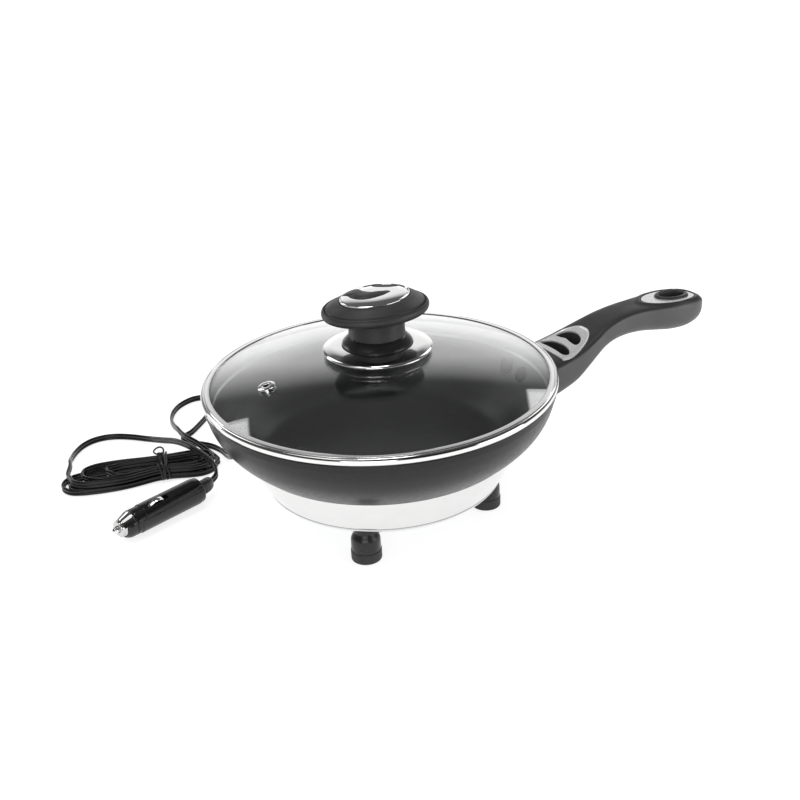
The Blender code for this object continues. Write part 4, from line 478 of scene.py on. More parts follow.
TAIL_ROUTE = (
    (-0.2874, 0.1765, 0.0094), (-0.2855, 0.1860, 0.0085), (-0.2818, 0.1985, 0.0050),
    (-0.2760, 0.2105, 0.0033), (-0.2675, 0.2200, 0.0031), (-0.2578, 0.2250, 0.0031),
    (-0.2475, 0.2254, 0.0031), (-0.2370, 0.2215, 0.0031), (-0.2260, 0.2125, 0.0033),
    (-0.2160, 0.1985, 0.0048), (-0.2085, 0.1800, 0.0095), (-0.2022, 0.1610, 0.0150),
    (-0.1970, 0.1440, 0.0172), (-0.1925, 0.1270, 0.0174), (-0.1895, 0.1120, 0.0168),
    (-0.1888, 0.0995, 0.0145), (-0.1908, 0.0920, 0.0125),
)

print(len(LEAD_ROUTE), "points in the lead and", len(TAIL_ROUTE), "in the tail")

# %% [markdown]
# ### The hank
# The hank is wound, so it is a formula: long loops that spiral in on one layer and out on the next, drawn in at
# the waist where the tie holds them. Its left bends draw in further on the upper layer, as a hand winds it.

# %% The hank
HANK_PLACE = turn_about_z(math.radians(-14.3), -0.2400, 0.1430)
HANK_TURNS, HANK_REACH, HANK_RADIUS, LOOP_STEP = 4.5, 0.0440, 0.0190, 0.0052
CORD_REST, LAYER_RISE = 0.0031, 0.0063
WAIST_PLACE, WAIST_DRAW, WAIST_SPREAD = 0.0200, 0.34, 0.0260


def hank_route(count=109):
    """Loops that spiral in on the lower layer and out on the upper one, drawn in at the waist:
    x = reach tanh(2.6 cos a) / tanh(2.6) + r cos a, y = r sin a (1 - waist), z rises by one layer."""
    turns = np.linspace(0, HANK_TURNS, 1297)
    angle = -math.tau * turns
    climb = np.clip((turns - 2.10) / 0.30, 0, 1)
    layer = climb * climb * (3 - 2 * climb)
    depth = np.minimum(turns, HANK_TURNS - turns)
    radius = HANK_RADIUS - LOOP_STEP * depth
    run = np.tanh(2.6 * np.cos(angle)) / math.tanh(2.6)
    left_reach = HANK_REACH - layer * (0.0090 + 0.0240 * (2 * depth / HANK_TURNS) ** 2)
    x = np.where(run < 0, left_reach, HANK_REACH) * run + radius * np.cos(angle)
    y = radius * np.sin(angle) * (1 - WAIST_DRAW * np.exp(-(((x - WAIST_PLACE) / WAIST_SPREAD) ** 2)))
    z = CORD_REST + LAYER_RISE * layer + 0.0008 * np.exp(-(((x - WAIST_PLACE) / 0.0180) ** 2))
    dense = placed(np.stack([x, y, z], axis=1), HANK_PLACE)
    length = np.linalg.norm(np.diff(dense, axis=0), axis=1).sum()
    return evenly(dense, length / (count - 1))


hank = hank_route()
print("the hank's points:", len(hank))

# %% [markdown]
# ### The whole route
# The cord ends in the plug's guard, which bends a little. A short straight tuck hides each end of the cord
# inside its guard, and one smooth curve joins everything.

# %% The plug's end and the whole route
PLUG_LENGTH, PLUG_RADIUS = 0.0790, 0.0105
PLUG_ANGLE = math.radians(18.7)
PLUG_TIP = (-0.2849, 0.0532, 0.0114)
RELIEF_LENGTH, RELIEF_BEND = 0.0130, math.radians(20)
TUCK = 0.0050
PATH_STEP = 0.0023


def relief_route():
    """Points and directions from the plug's end: straight, then a bend of 20 degrees."""
    along = np.array([math.cos(PLUG_ANGLE), math.sin(PLUG_ANGLE), 0])
    spots = [np.array(PLUG_TIP) + along * (PLUG_LENGTH + FIT_GAP)]
    ways = [along]
    for share in (0.0, 0.25, 0.6, 0.9, 1.0):
        angle = PLUG_ANGLE + RELIEF_BEND * share
        ways.append(np.array([math.cos(angle), math.sin(angle), 0]))
        spots.append(spots[-1] + ways[-1] * RELIEF_LENGTH / 5)
    return np.array(spots), np.array(ways)


relief_spots, relief_ways = relief_route()
mouth, mouth_way = relief_spots[-1], relief_ways[-1]
cord_points = np.vstack([
    cord_start - exit_way * TUCK, cord_start, cord_start + exit_way * CORD_WIDTH, LEAD_ROUTE,
    hank[0] - unit(hank[1] - hank[0]) * CORD_WIDTH, hank, hank[-1] + unit(hank[-1] - hank[-2]) * CORD_WIDTH,
    TAIL_ROUTE, mouth + mouth_way * CORD_WIDTH, mouth, mouth - mouth_way * TUCK,
])
cord_path = evenly(through(cord_points, 12), PATH_STEP)
cord_length = float(np.linalg.norm(np.diff(cord_path, axis=0), axis=1).sum())
print(f"the cord is {cord_length:.3f} m long")

# %% [markdown]
# ### The cord's surface
# At every step of the path stands one copy of the section, square to the way the cord goes. The section is
# two circles, one on the other, so the groove between the cores runs the whole length as real geometry.

# %% The cord
def swept(path, section, standing=UP):
    """A flat section carried along a path: across is path direction x standing, and the other axis is square
    to both. Each row of the grid is one copy of the section."""
    way = unit(np.gradient(path, axis=0))
    across = unit(np.cross(way, standing))
    rise = np.cross(across, way)
    return path[:, None] + section[None, :, :1] * across[:, None] + section[None, :, 1:] * rise[:, None]


def twin_section(core, web, columns=11):
    """Two circles of radius core, one on the other, each drawn from the web round its far side."""
    open_angle = math.asin(1 - web) if web < 1 else 0
    sweep = np.linspace(-open_angle, math.pi + open_angle, columns)
    upper = np.stack([core * np.cos(sweep), core + core * np.sin(sweep)], axis=1)
    return np.vstack([upper, -upper])


cord = piece(
    "twin_cord", [skin(swept(cord_path, twin_section(CORD_THICK / 2, 0.16)), caps=True)], "cord_vinyl",
    ("cord_lead", "cord_hank", "cord_tail"),
)

# %% [markdown]
# ### The twist tie
# A thin sleeved wire goes three times round the hank's waist; its two ends are twisted together and bent into
# a small loop. Each part is a path with a round section: a rounded loop that creeps along the hank, a pair of
# spirals, and a ring that stands up.

# %% The twist tie
TIE_WIRE = 0.00068
TIE_HALF, TIE_MIDDLE, TIE_TALL = 0.0149, 0.0077, 0.0069
TIE_PLACE = HANK_PLACE @ frame_of((WAIST_PLACE, 0, 0), (1, 0, 0), (0, 1, 0), UP)


def round_section(radius, columns):
    """Points on a circle: (r cos a, r sin a)."""
    angle = np.arange(columns) * math.tau / columns
    return radius * np.stack([np.cos(angle), np.sin(angle)], axis=1)


def flat_power(value, power):
    """|value|^power with the value's own sign, which squares off a circle's cosine and sine."""
    return np.sign(value) * np.abs(value) ** power


def tie_winding(turns, creep):
    """A loop y = half |cos|^0.45, z = middle + tall |sin|^0.45 that moves along by creep each turn."""
    turn = np.linspace(0.30, 0.30 + turns, int(turns * 160))
    angle = turn * math.tau
    x = creep * (turn - turns / 2) + 0.0007 * np.sin(2.3 * angle)
    y = TIE_HALF * flat_power(np.cos(angle), 0.45)
    z = TIE_MIDDLE + TIE_TALL * flat_power(np.sin(angle), 0.45)
    return evenly(np.stack([x, y, z], axis=1), 0.0007)


def tie_twist(phase):
    """One of the two ends: a spiral of four turns round a bent line that rises from the winding."""
    share = np.linspace(0, 1, 70)
    line = np.stack([-0.0030 * share, -0.0020 + 0.0060 * share, 0.0148 + 0.0030 * np.sin(share * 2.2)], axis=1)
    angle = share * math.tau * 4 + phase
    return line + 0.0007 * np.stack([0 * angle, np.cos(angle), np.sin(angle)], axis=1)


def tie_ring():
    """The free end, bent into a small standing loop."""
    angle = np.linspace(-0.6, math.tau - 1.0, 48)
    return np.stack([-0.0020 + 0.0040 * np.cos(angle), 0.0045 + 0.0010 * np.sin(2 * angle),
                     0.0195 + 0.0034 * np.sin(angle)], axis=1)


ALONG_HANK, ACROSS_HANK = np.array([1.0, 0, 0]), np.array([0, 1.0, 0])
tie_section = round_section(TIE_WIRE, 10)
tie_paths = (
    (tie_winding(3.35, 0.0021), ALONG_HANK),
    (tie_twist(0.0), ACROSS_HANK),
    (tie_twist(math.pi), ACROSS_HANK),
    (tie_ring(), ACROSS_HANK),
)
tie_skins = [skin(placed(swept(path, tie_section, standing), TIE_PLACE), caps=True) for path, standing in tie_paths]
piece("tie_wire", tie_skins, "black_plastic", ("twist_tie",))

# %% [markdown]
# ## The bowl and its heater base
# A cast bowl is a solid of revolution: an outline from the flat bottom to the rim, moved in by the wall's
# thickness for the inside, and rounded over at the lip. Turning it about the pan's axis is exact and light.
# Every corner of such an outline gets a short curve, because no pressed, cast or moulded edge is quite sharp.

# %% Turned profiles
def softened(corners, reaches, steps=6):
    """An outline whose corners are rounded: near each corner it follows the curve
    (1-s)^2 start + 2s(1-s) corner + s^2 end, which begins and ends that corner's reach away from it."""
    corners = np.asarray(corners, float)
    before, after = np.roll(corners, 1, axis=0) - corners, np.roll(corners, -1, axis=0) - corners
    back, on = (np.linalg.norm(side, axis=1)[:, None] for side in (before, after))
    reach = np.minimum(np.broadcast_to(reaches, len(corners))[:, None], 0.48 * np.minimum(back, on))
    start, end = corners + before / back * reach, corners + after / on * reach
    share = np.linspace(0, 1, steps)[None, :, None]
    curve = (1 - share) ** 2 * start[:, None] + 2 * share * (1 - share) * corners[:, None] + share**2 * end[:, None]
    return curve.reshape(-1, corners.shape[1])


def eased(points, reach):
    """The same curve with its bends evened out: each point is the mean of its neighbours by weights
    exp(-(gap / reach)^2), fading back to the point itself at both ends."""
    along = np.concatenate([[0], np.cumsum(np.linalg.norm(np.diff(points, axis=0), axis=1))])
    weight = np.exp(-(((along[:, None] - along[None]) / reach) ** 2))
    even = weight @ points / weight.sum(axis=1, keepdims=True)
    held = np.exp(-((np.minimum(along, along[-1] - along) / reach) ** 2))[:, None]
    return even * (1 - held) + points * held


def turned(profile, place, columns):
    """(radius, height) pairs carried round the Z axis: each becomes (r cos a, r sin a, height)."""
    angle = np.arange(columns) * math.tau / columns
    radius, height = profile[:, 0, None], profile[:, 1, None]
    ring = np.stack([radius * np.cos(angle), radius * np.sin(angle), height + 0 * angle], -1)
    return placed(ring, place)


def turned_piece(name, profile, place, columns, slot, node, body="root", hollow=True):
    """A piece made by turning a profile about its place's Z; a hollow one's profile closes on itself."""
    return piece(name, [skin(turned(profile, place, columns), round_rows=hollow)], slot, (node,), body)


# %% [markdown]
# ### The bowl
# The outside is a list of shares of the bowl's radius and depth. The inside keeps the wall's thickness, blends
# softly into the floor, and steps outwards at a ledge near the top, where the lid's seat begins.

# %% The bowl
PAN = frame_of((PAN_X, 0, 0), (1, 0, 0), (0, 1, 0), UP)
BOWL_RADIUS, BOWL_BOTTOM, BOWL_DEPTH = 0.1285, 0.0460, 0.0550
BOWL_TOP = BOWL_BOTTOM + BOWL_DEPTH
BOWL_WALL, BOWL_FLOOR = 0.0035, 0.0042
LEDGE_HEIGHT, LEDGE_STEP, RIM_RISE = 0.0905, 0.0013, 0.0012
BOWL_SHARES = (
    (0.56, 0.0), (0.60, 0.0), (0.66, 0.020), (0.73, 0.100), (0.80, 0.227), (0.870, 0.369), (0.942, 0.555),
    (0.965, 0.664), (0.984, 0.782), (1.0, 1.0),
)
outer = evenly(through(np.array(BOWL_SHARES) * (BOWL_RADIUS, BOWL_DEPTH), 8) + (0, BOWL_BOTTOM), 0.0007)
seen_part = outer[:, 0] > 0.70 * BOWL_RADIUS
outer[seen_part] = eased(outer[seen_part], 0.011)


def inset(outline, distance):
    """An open outline moved towards the axis, square to itself."""
    run = unit(np.gradient(outline, axis=0))
    return outline + distance * np.stack([-run[:, 1], run[:, 0]], axis=1)


def inner_outline():
    """The inside of the wall; its height blends into the floor: h = (a + sqrt(a^2 + e^2)) / 2 above it."""
    inner = inset(outer, BOWL_WALL)
    above = inner[:, 1] - BOWL_BOTTOM - BOWL_FLOOR
    inner[:, 1] = BOWL_BOTTOM + BOWL_FLOOR + (above + np.sqrt(above**2 + BOWL_WALL**2 / 3)) / 2
    inner = evenly(inner[inner[:, 1] < BOWL_TOP - BOWL_WALL / 2], 0.0004)
    inner[:, 0] -= LEDGE_STEP * (1 - 1 / (1 + np.exp(-(inner[:, 1] - LEDGE_HEIGHT) / 0.00025)))
    return inner


inner = inner_outline()
rim_top = BOWL_TOP + RIM_RISE
lip = softened([(BOWL_RADIUS, BOWL_TOP - BOWL_WALL), (BOWL_RADIUS, rim_top), (inner[-1, 0], rim_top),
                (inner[-1, 0], BOWL_TOP - BOWL_WALL)], [0, 0.0009, 0.0009, 0])
outer_open = outer[outer[:, 1] < BOWL_TOP - BOWL_WALL]
bowl_profile = np.vstack([[(0, BOWL_BOTTOM)], outer_open, lip, inner[::-1], [(0, inner[0, 1])]])
bowl = turned_piece("bowl_shell", bowl_profile, PAN, 192, "coated_aluminium", "pan_bowl", hollow=False)

# %% [markdown]
# ### The worn inside
# Above the ledge the coating is gone, and the wall below it turns paler towards the top, where scraping and
# heat reach it most. One value on each point of the mesh says how worn it is, and the coating's finish reads it.

# %% Painted light in the bowl
LIT_WALL_LOW, LIT_WALL_HIGH = 0.0580, 0.0800


def mark(item, name, shade):
    """A value on each point of a piece, worked out from all its points and normals at once."""
    mesh = item.data
    points, normals = (np.empty(len(mesh.vertices) * 3, np.float32) for _ in range(2))
    mesh.vertices.foreach_get("co", points)
    mesh.vertex_normals.foreach_get("vector", normals)
    values = shade(points.reshape(-1, 3), normals.reshape(-1, 3))
    mesh.attributes.new(name, "FLOAT", "POINT").data.foreach_set("value", np.asarray(values, np.float32))
    print(f"{item.name}: {name} from {np.min(values):.2f} to {np.max(values):.2f}")


def paint_inner_light(points, normals):
    """Painted light inside the bowl: 1 above the ledge, where the lid sits, as a painted highlight, and below it a
    painted paler wall that fades into the dark floor, as 0.60 s^2 (3 - 2 s) of its height s."""
    height = points[:, 2]
    inwards = (PAN_X - points[:, 0]) * normals[:, 0] - points[:, 1] * normals[:, 1]
    share = np.clip((height - LIT_WALL_LOW) / (LIT_WALL_HIGH - LIT_WALL_LOW), 0, 1)
    wall = 0.60 * share**2 * (3 - 2 * share)
    return np.where(height > LEDGE_HEIGHT - 0.0006, 1, wall) * (inwards > 0.02 * BOWL_RADIUS)


# Painted light on the seat and the upper inside wall.
mark(bowl, "painted_inner_light", paint_inner_light)

# %% [markdown]
# ### The rivets
# Two coated rivets hold the handle's bracket. Their heads are shallow domes that sit square to the wall, so
# each one gets a place on the wall with its own axis.

# %% The rivets
RIVET_HEIGHT, RIVET_SPACING = 0.0786, 0.0212
RIVET_HEAD, RIVET_DOME, RIVET_SEAT = 0.0066, 0.0050, 0.0046
RIVET_SHANK = 0.0024


def wall_place(side):
    """A place on the bowl's outer wall, Z straight out of the leaning wall."""
    radius = float(np.interp(RIVET_HEIGHT, outer[:, 1], outer[:, 0]))
    spread = np.interp([RIVET_HEIGHT - BOWL_WALL, RIVET_HEIGHT + BOWL_WALL], outer[:, 1], outer[:, 0])
    lean = math.atan2(spread[1] - spread[0], 2 * BOWL_WALL)
    offset = side * RIVET_SPACING / 2
    flat = unit(np.array([math.sqrt(radius**2 - offset**2), offset, 0]))
    return leaning_place(flat * radius + np.array([PAN_X, 0, RIVET_HEIGHT]), flat, lean)


dome_angle = np.linspace(0, math.pi / 2, 12)
dome = np.stack([RIVET_HEAD * np.cos(dome_angle), -RIVET_SEAT - RIVET_DOME * np.sin(dome_angle)], axis=1)[::-1]
shank = softened([
    (RIVET_HEAD, -RIVET_SEAT), (RIVET_SHANK, -RIVET_SEAT), (RIVET_SHANK, 0.0031), (0.0040, 0.0031), (0.0040, 0.0047),
    (0, 0.0047),
], [0, 0, 0, 0, 0.0004, 0])[6:]
rivet_profile = np.vstack([dome, shank])
for side, node in ((-1, "rivet_near"), (1, "rivet_far")):
    turned_piece(node + "_head", rivet_profile, wall_place(side), 48, "coated_aluminium", node, hollow=False)

# %% [markdown]
# ### Cutting holes
# A hole is cut by taking a plain shape out of the piece, exactly and at once, so nothing is left to work out
# later and the cutter itself is gone. Most holes here are round, so a rod is the usual cutter.

# %% Cutters
def cut_out(item, *cutters):
    """Takes the volume of each cutter's skin out of a piece."""
    tools = [new_object("cutter", raw_mesh("cutter", [cutter])) for cutter in cutters]
    for tool in tools:
        change = item.modifiers.new("cut", "BOOLEAN")
        change.operation, change.solver, change.object = "DIFFERENCE", "EXACT", tool
    bpy.context.view_layer.update()
    shape = bpy.data.meshes.new_from_object(item.evaluated_get(bpy.context.evaluated_depsgraph_get()))
    item.modifiers.clear()
    item.data = shape
    for tool in tools:
        bpy.data.objects.remove(tool)
    smooth(shape)
    print(f"{item.name}: {len(cutters)} cut out, {len(shape.polygons)} faces")


def rod(radius, low, high, place, columns):
    """A plain cylinder along a place's Z, for cutting a round hole."""
    return skin(turned(np.array([(0, low), (radius, low), (radius, high), (0, high)]), place, columns))


# %% [markdown]
# ### The heater's drum
# The base is a pressed steel drum. Its sheet is rolled in at the bottom, where a plate closes it, and the
# whole face slants, so it mirrors the white floor and looks almost white. It reaches up to just under the
# bowl: the height there depends on the radius and the radius on the height, so a few rounds settle both.

# %% The drum
DRUM_SHEET, DRUM_CORNER, DRUM_LIP = 0.0010, 0.0026, 0.0040
ROLLED_BEAD = ((0.0012, 0.0003), (0.0024, 0.0002), (0.0029, -0.0002), (0.0040, 0.0))
CORD_HOLE = 0.0053
slant = DRUM_SHEET / math.cos(math.atan2(DRUM_TOP_RADIUS - DRUM_BOTTOM_RADIUS, DRUM_TOP - DRUM_BOTTOM))
low_in = DRUM_BOTTOM + DRUM_SHEET


def under_bowl(radius):
    """The height just under the bowl's outside, at a radius."""
    return float(np.interp(radius, outer[:, 0], outer[:, 1])) - 0.0001


top_edge = under_bowl(DRUM_TOP_RADIUS)
for _ in range(20):
    top_radius = DRUM_TOP_RADIUS + (top_edge - DRUM_TOP) * 0.5
    top_edge = under_bowl(top_radius)
print("the drum reaches the bowl at radius", round(top_radius, 5), "and height", round(top_edge, 5))
bead = [(drum_radius(DRUM_BOTTOM + rise) + out, DRUM_BOTTOM + rise) for rise, out in ROLLED_BEAD]
drum_profile = softened([
    (DRUM_BOTTOM_RADIUS - DRUM_LIP, DRUM_BOTTOM), (DRUM_BOTTOM_RADIUS - 0.0002, DRUM_BOTTOM), *bead,
    (top_radius, top_edge), (top_radius - slant, under_bowl(top_radius - slant)),
    (drum_radius(low_in) - slant, low_in), (DRUM_BOTTOM_RADIUS - DRUM_LIP, low_in),
], [0.0003, 0.0007, 0.0006, 0.0003, 0.0004, 0.0004, 0.0001, 0.0003, DRUM_CORNER - DRUM_SHEET, 0.0003], 8)
drum = turned_piece("drum_skin", drum_profile, PAN, 192, "polished_steel", "base_drum")


def paint_bead_shade(points, normals):
    """Painted shade, standing in for the shadowed floor it mirrors, in the fold above the rolled bead and on the
    drum's lower edge.
    """
    fold = np.exp(-(((points[:, 2] - DRUM_BOTTOM - 0.0028) / 0.0005) ** 2))
    return fold + (points[:, 2] < DRUM_BOTTOM + 0.0006)


# Painted shade on the drum's bead fold and lower edge.
mark(drum, "groove", paint_bead_shade)
cut_out(drum, rod(CORD_HOLE, -0.004, 0.004, exit_place, 48))

# %% [markdown]
# ### The legs
# Three moulded legs carry the base, each in a rubber boot. The legs taper slightly, as a moulding has to in
# order to leave its mould, and a fine parting line runs down two sides.

# %% Legs and boots
LEG_CIRCLE, LEG_RADIUS, LEG_TOP = 0.07647, 0.0106, 0.0277
LEG_CORE, LEG_LOW, LEG_STEP = 0.0092, 0.0025, 0.0079
BOOT_RADIUS, BOOT_HEIGHT, BOOT_BORE, BOOT_FLOOR = 0.0110, 0.0080, 0.0095, 0.0022
LEG_TURNS = {"front": -128.3, "right": -34.8, "rear": 98.4}
SEAM_TURN = math.radians(-103)


def leg_grid(place, columns=96):
    """A turned leg whose radius swells by a hair on two opposite lines, where the mould's halves met."""
    profile = softened([(0, LEG_LOW), (LEG_CORE, LEG_LOW), (LEG_CORE, LEG_STEP), (LEG_RADIUS, LEG_STEP),
                        (LEG_RADIUS - 0.0001, LEG_TOP - 0.0100), (LEG_RADIUS - 0.0030, LEG_TOP - 0.0056),
                        (LEG_RADIUS - 0.0034, LEG_TOP), (0, LEG_TOP)],
                       [0, 0, 0, 0.0004, 0.0022, 0.0012, 0.0006, 0])
    grid = turned(profile, np.eye(4), columns)
    angle = np.arange(columns) * math.tau / columns
    seam = 1 + 0.022 * np.exp(-((np.sin(angle) / 0.06) ** 2))
    grid[..., :2] *= seam[None, :, None]
    return placed(grid, place)


boot_profile = softened([
    (0, 0), (BOOT_RADIUS, 0), (BOOT_RADIUS, BOOT_HEIGHT), (BOOT_BORE, BOOT_HEIGHT), (BOOT_BORE, BOOT_FLOOR),
    (0, BOOT_FLOOR),
], [0, 0.0012, 0.0005, 0, 0, 0])
for node, degrees in LEG_TURNS.items():
    angle = math.radians(degrees)
    x, y = PAN_X + LEG_CIRCLE * math.cos(angle), LEG_CIRCLE * math.sin(angle)
    spot = turn_about_z(SEAM_TURN, x, y)
    piece(f"leg_{node}_post", [skin(leg_grid(spot))], "black_plastic", (f"leg_{node}",))
    turned_piece(f"leg_{node}_boot", boot_profile, spot, 96, "rubber", f"leg_tip_{node}", hollow=False)

# %% [markdown]
# ### The cord's guard in the drum
# A rubber sleeve grips both faces of the sheet and keeps the cord from bending sharply there. Two shallow
# grooves round it let it flex, so its outline is a taper that steps in twice.

# %% The cord's guard
GROOVES = ((0.0, 0), (0.30, 0), (0.34, 1), (0.46, 1), (0.50, 0), (0.66, 0), (0.70, 1), (0.82, 1), (0.86, 0))
groove = np.array(GROOVES)
sleeve = np.stack([0.0062 - 0.0018 * groove[:, 0] - 0.0006 * groove[:, 1], 0.0025 + 0.0195 * groove[:, 0]], axis=1)
bushing_profile = softened(
    [(0, -0.0038), (0.0074, -0.0038), (0.0074, -0.0016), (0.0050, -0.0016), (0.0050, FIT_GAP), (0.0074, FIT_GAP),
     (0.0074, 0.0025), *sleeve, (0.0044, BUSHING_REACH), (0, BUSHING_REACH)],
    [0, 0.0006, 0.0004, 0, 0, 0.0004, 0.0008] + [0.0004] * len(sleeve) + [0.0007, 0])
turned_piece("strain_relief", bushing_profile, exit_place, 64, "rubber", "cord_bushing", hollow=False)

# %% [markdown]
# ## The lid
# The glass is a shallow dome of even thickness. A rolled steel band grips its edge: a flange on top, a
# rounded side and a lip under the glass. All of it rides on the body that lifts off the pan.

# %% The glass
GLASS_EDGE, GLASS_THICK, GLASS_RISE, GLASS_APEX = 0.1265, 0.0040, 0.0220, 0.1285
EDGE_ROUND = 0.0012
BOLT_BORE = 0.0023
VENT_PLACE, VENT_ANGLE, VENT_HOLE = 0.0860, math.radians(177.6), 0.0039


def glass_height(radius):
    """The upper face: apex - rise (r / edge)^2."""
    return GLASS_APEX - GLASS_RISE * (radius / GLASS_EDGE) ** 2


def slope_place(radius, angle):
    """A place on the glass's upper face, Z square to the glass."""
    slope = 2 * GLASS_RISE * radius / GLASS_EDGE**2
    flat = np.array([math.cos(angle), math.sin(angle), 0])
    normal = unit(flat * slope + UP)
    beside = unit(np.cross(normal, flat))
    spot = flat * radius + np.array([PAN_X, 0, glass_height(radius)])
    return frame_of(spot, np.cross(beside, normal), beside, normal)


radii = np.linspace(BOLT_BORE, GLASS_EDGE - EDGE_ROUND, 60)
face = np.stack([radii, glass_height(radii)], axis=1)
edge_mid = glass_height(GLASS_EDGE) - GLASS_THICK / 2
edge_angle = np.linspace(math.pi / 2, -math.pi / 2, 9)[1:-1]
edge_out = GLASS_EDGE - EDGE_ROUND * (1 - np.cos(edge_angle))
edge = np.stack([edge_out, edge_mid + GLASS_THICK / 2 * np.sin(edge_angle)], axis=1)
glass_profile = np.vstack([face, edge, (face - (0, GLASS_THICK))[::-1]])
lid_glass = turned_piece("glass_dome", glass_profile, PAN, 192, "clear_glass", "lid_glass", "lid")
vent_place = slope_place(VENT_PLACE, VENT_ANGLE)
cut_out(lid_glass, rod(VENT_HOLE, -0.009, 0.005, vent_place, 48))

# %% [markdown]
# ### The rolled band
# The band is one strip of thin steel, rolled round the glass. Its outline goes from the lip under the glass up
# the rounded side, over a fine hem groove and in along the flange, then back round the glass's edge. Reading it
# off at even steps keeps the mirror in it calm.

# %% The band
LID_RADIUS, BAND_SHEET, BAND_FLANGE, BAND_SIDE = 0.1297, 0.0009, 0.0064, 0.0060
BAND_LOW = BOWL_TOP + FIT_GAP
side_top = BAND_LOW + BAND_SIDE
wall_in = GLASS_EDGE + FIT_GAP
flange_in = LID_RADIUS - BAND_FLANGE
under_in = GLASS_EDGE - BAND_FLANGE / 2


def under_glass(radius):
    """The height just under the glass."""
    return glass_height(radius) - GLASS_THICK - FIT_GAP


band_profile = softened([
    (under_in, under_glass(under_in) - BAND_SHEET), (wall_in, BAND_LOW),
    (LID_RADIUS - 0.0022, BAND_LOW), (LID_RADIUS - 0.0016, BAND_LOW + 0.0014), (LID_RADIUS, BAND_LOW + 0.0020),
    (LID_RADIUS, side_top - 0.0010), (LID_RADIUS - 0.0010, side_top + 0.0002),
    (LID_RADIUS - 0.0020, side_top + 0.0005), (LID_RADIUS - 0.0024, side_top),
    (LID_RADIUS - 0.0028, side_top + 0.0006), (wall_in - 0.0012, side_top + 0.0007),
    (flange_in + 0.0008, side_top + 0.0008), (flange_in, glass_height(flange_in) + 0.0004),
    (flange_in, glass_height(flange_in) + 0.0001), (wall_in, glass_height(wall_in) + FIT_GAP),
    (wall_in, under_glass(wall_in)), (under_in, under_glass(under_in)),
], [0.0002, 0.0006, 0.0002, 0.0004, 0.0011, 0.0012, 0.0005, 0.0002, 0.0001, 0.0002, 0.0014, 0.0008, 0.0003, 0.0001,
    0.0004, 0.0004, 0.0002], 8)
band_profile = evenly(np.vstack([band_profile, band_profile[:1]]), 0.00025)[:-1]
band = turned_piece("rim_band", band_profile, PAN, 240, "polished_steel", "lid_rim_band", "lid")

# %% [markdown]
# ### Painted shade lines on the band
# The band's outer shoulder and the flange's inner edge are painted dark, as painted shade. Without
# them the band would mirror one even white and lose its shape.

# %% Lines on the band
def paint_band_shade(points, normals):
    """Painted dark lines along the band's outer shoulder and along the flange's inner edge: exp(-(gap / width)^2)."""
    radius = np.hypot(points[:, 0] - PAN_X, points[:, 1])
    upper = points[:, 2] > side_top - 0.0010
    shoulder = 0.55 * np.exp(-(((radius - LID_RADIUS + 0.0003) / 0.0006) ** 2))
    return upper * (shoulder + 0.75 * np.exp(-(((radius - flange_in - 0.0004) / 0.0007) ** 2)))


# Painted shade lines on the band.
mark(band, "groove", paint_band_shade)

# %% [markdown]
# ### The steam vent
# A small eyelet is pressed through the glass and spread on both faces, square to the glass where it sits.

# %% The vent
vent_profile = softened([
    (0.0022, -0.0056), (0.0064, -0.0056), (0.0064, -0.0043), (0.0036, -0.0043), (0.0036, FIT_GAP), (0.0064, FIT_GAP),
    (0.0064, 0.0012), (0.0044, 0.0018), (0.0022, 0.0016),
], [0.0003, 0.0005, 0.0002, 0, 0, 0.0002, 0.0004, 0.0009, 0.0007], 7)
turned_piece("vent_ring", vent_profile, vent_place, 64, "polished_steel", "vent_eyelet", "lid")

# %% [markdown]
# ### The knob's lower parts
# A mirror-bright disc spreads the bolt's pull over the glass, a cushion-shaped foot stands on it, and a softly
# waisted neck carries the cap. All three are turned parts with a bore for the bolt.

# %% Disc, foot and neck
DISC_TOP, FOOT_TOP, NECK_LOW, NECK_TOP = 0.1322, 0.1403, 0.1401, 0.1534
disc_profile = softened([
    (BOLT_BORE, 0.1313), (0.0254, 0.1313), (0.0335, 0.1318), (0.0385, 0.1305), (0.0389, 0.1291), (0.0397, 0.1291),
    (0.0399, 0.1302), (0.0385, 0.1312), (0.0335, 0.1327), (0.0262, 0.1337), (0.0236, DISC_TOP), (BOLT_BORE, DISC_TOP),
], [0, 0.002, 0.004, 0.0006, 0.0003, 0.0003, 0.0012, 0.0022, 0.004, 0.002, 0.002, 0], 7)
turned_piece("knob_mirror_disc", disc_profile, PAN, 160, "polished_steel", "knob_disc", "lid")
foot_profile = softened([
    (BOLT_BORE, 0.1325), (0.0246, 0.1325), (0.0258, 0.1336), (0.0249, 0.1354), (0.0212, 0.1393), (0.0198, FOOT_TOP),
    (BOLT_BORE, FOOT_TOP),
], [0, 0.0006, 0.0012, 0.0024, 0.0010, 0.0003, 0], 8)
turned_piece("knob_cushion", foot_profile, PAN, 128, "black_plastic", "knob_foot", "lid")
neck_profile = softened([
    (BOLT_BORE, NECK_LOW), (0.0202, NECK_LOW), (0.0205, NECK_LOW + 0.0004), (0.0202, 0.1470), (0.0208, NECK_TOP),
    (BOLT_BORE, NECK_TOP),
], [0, 0.0003, 0.0005, 0.004, 0.0002, 0])
turned_piece("knob_collar", neck_profile, PAN, 128, "soft_touch_black", "knob_neck", "lid")

# %% [markdown]
# ### The oval cap
# The cap is wide and oval, so its grid has one more idea: each row has its own length, width and turn. The
# rows blend from the neck's circle through the oval bead to the slightly turned pocket of the inlay.

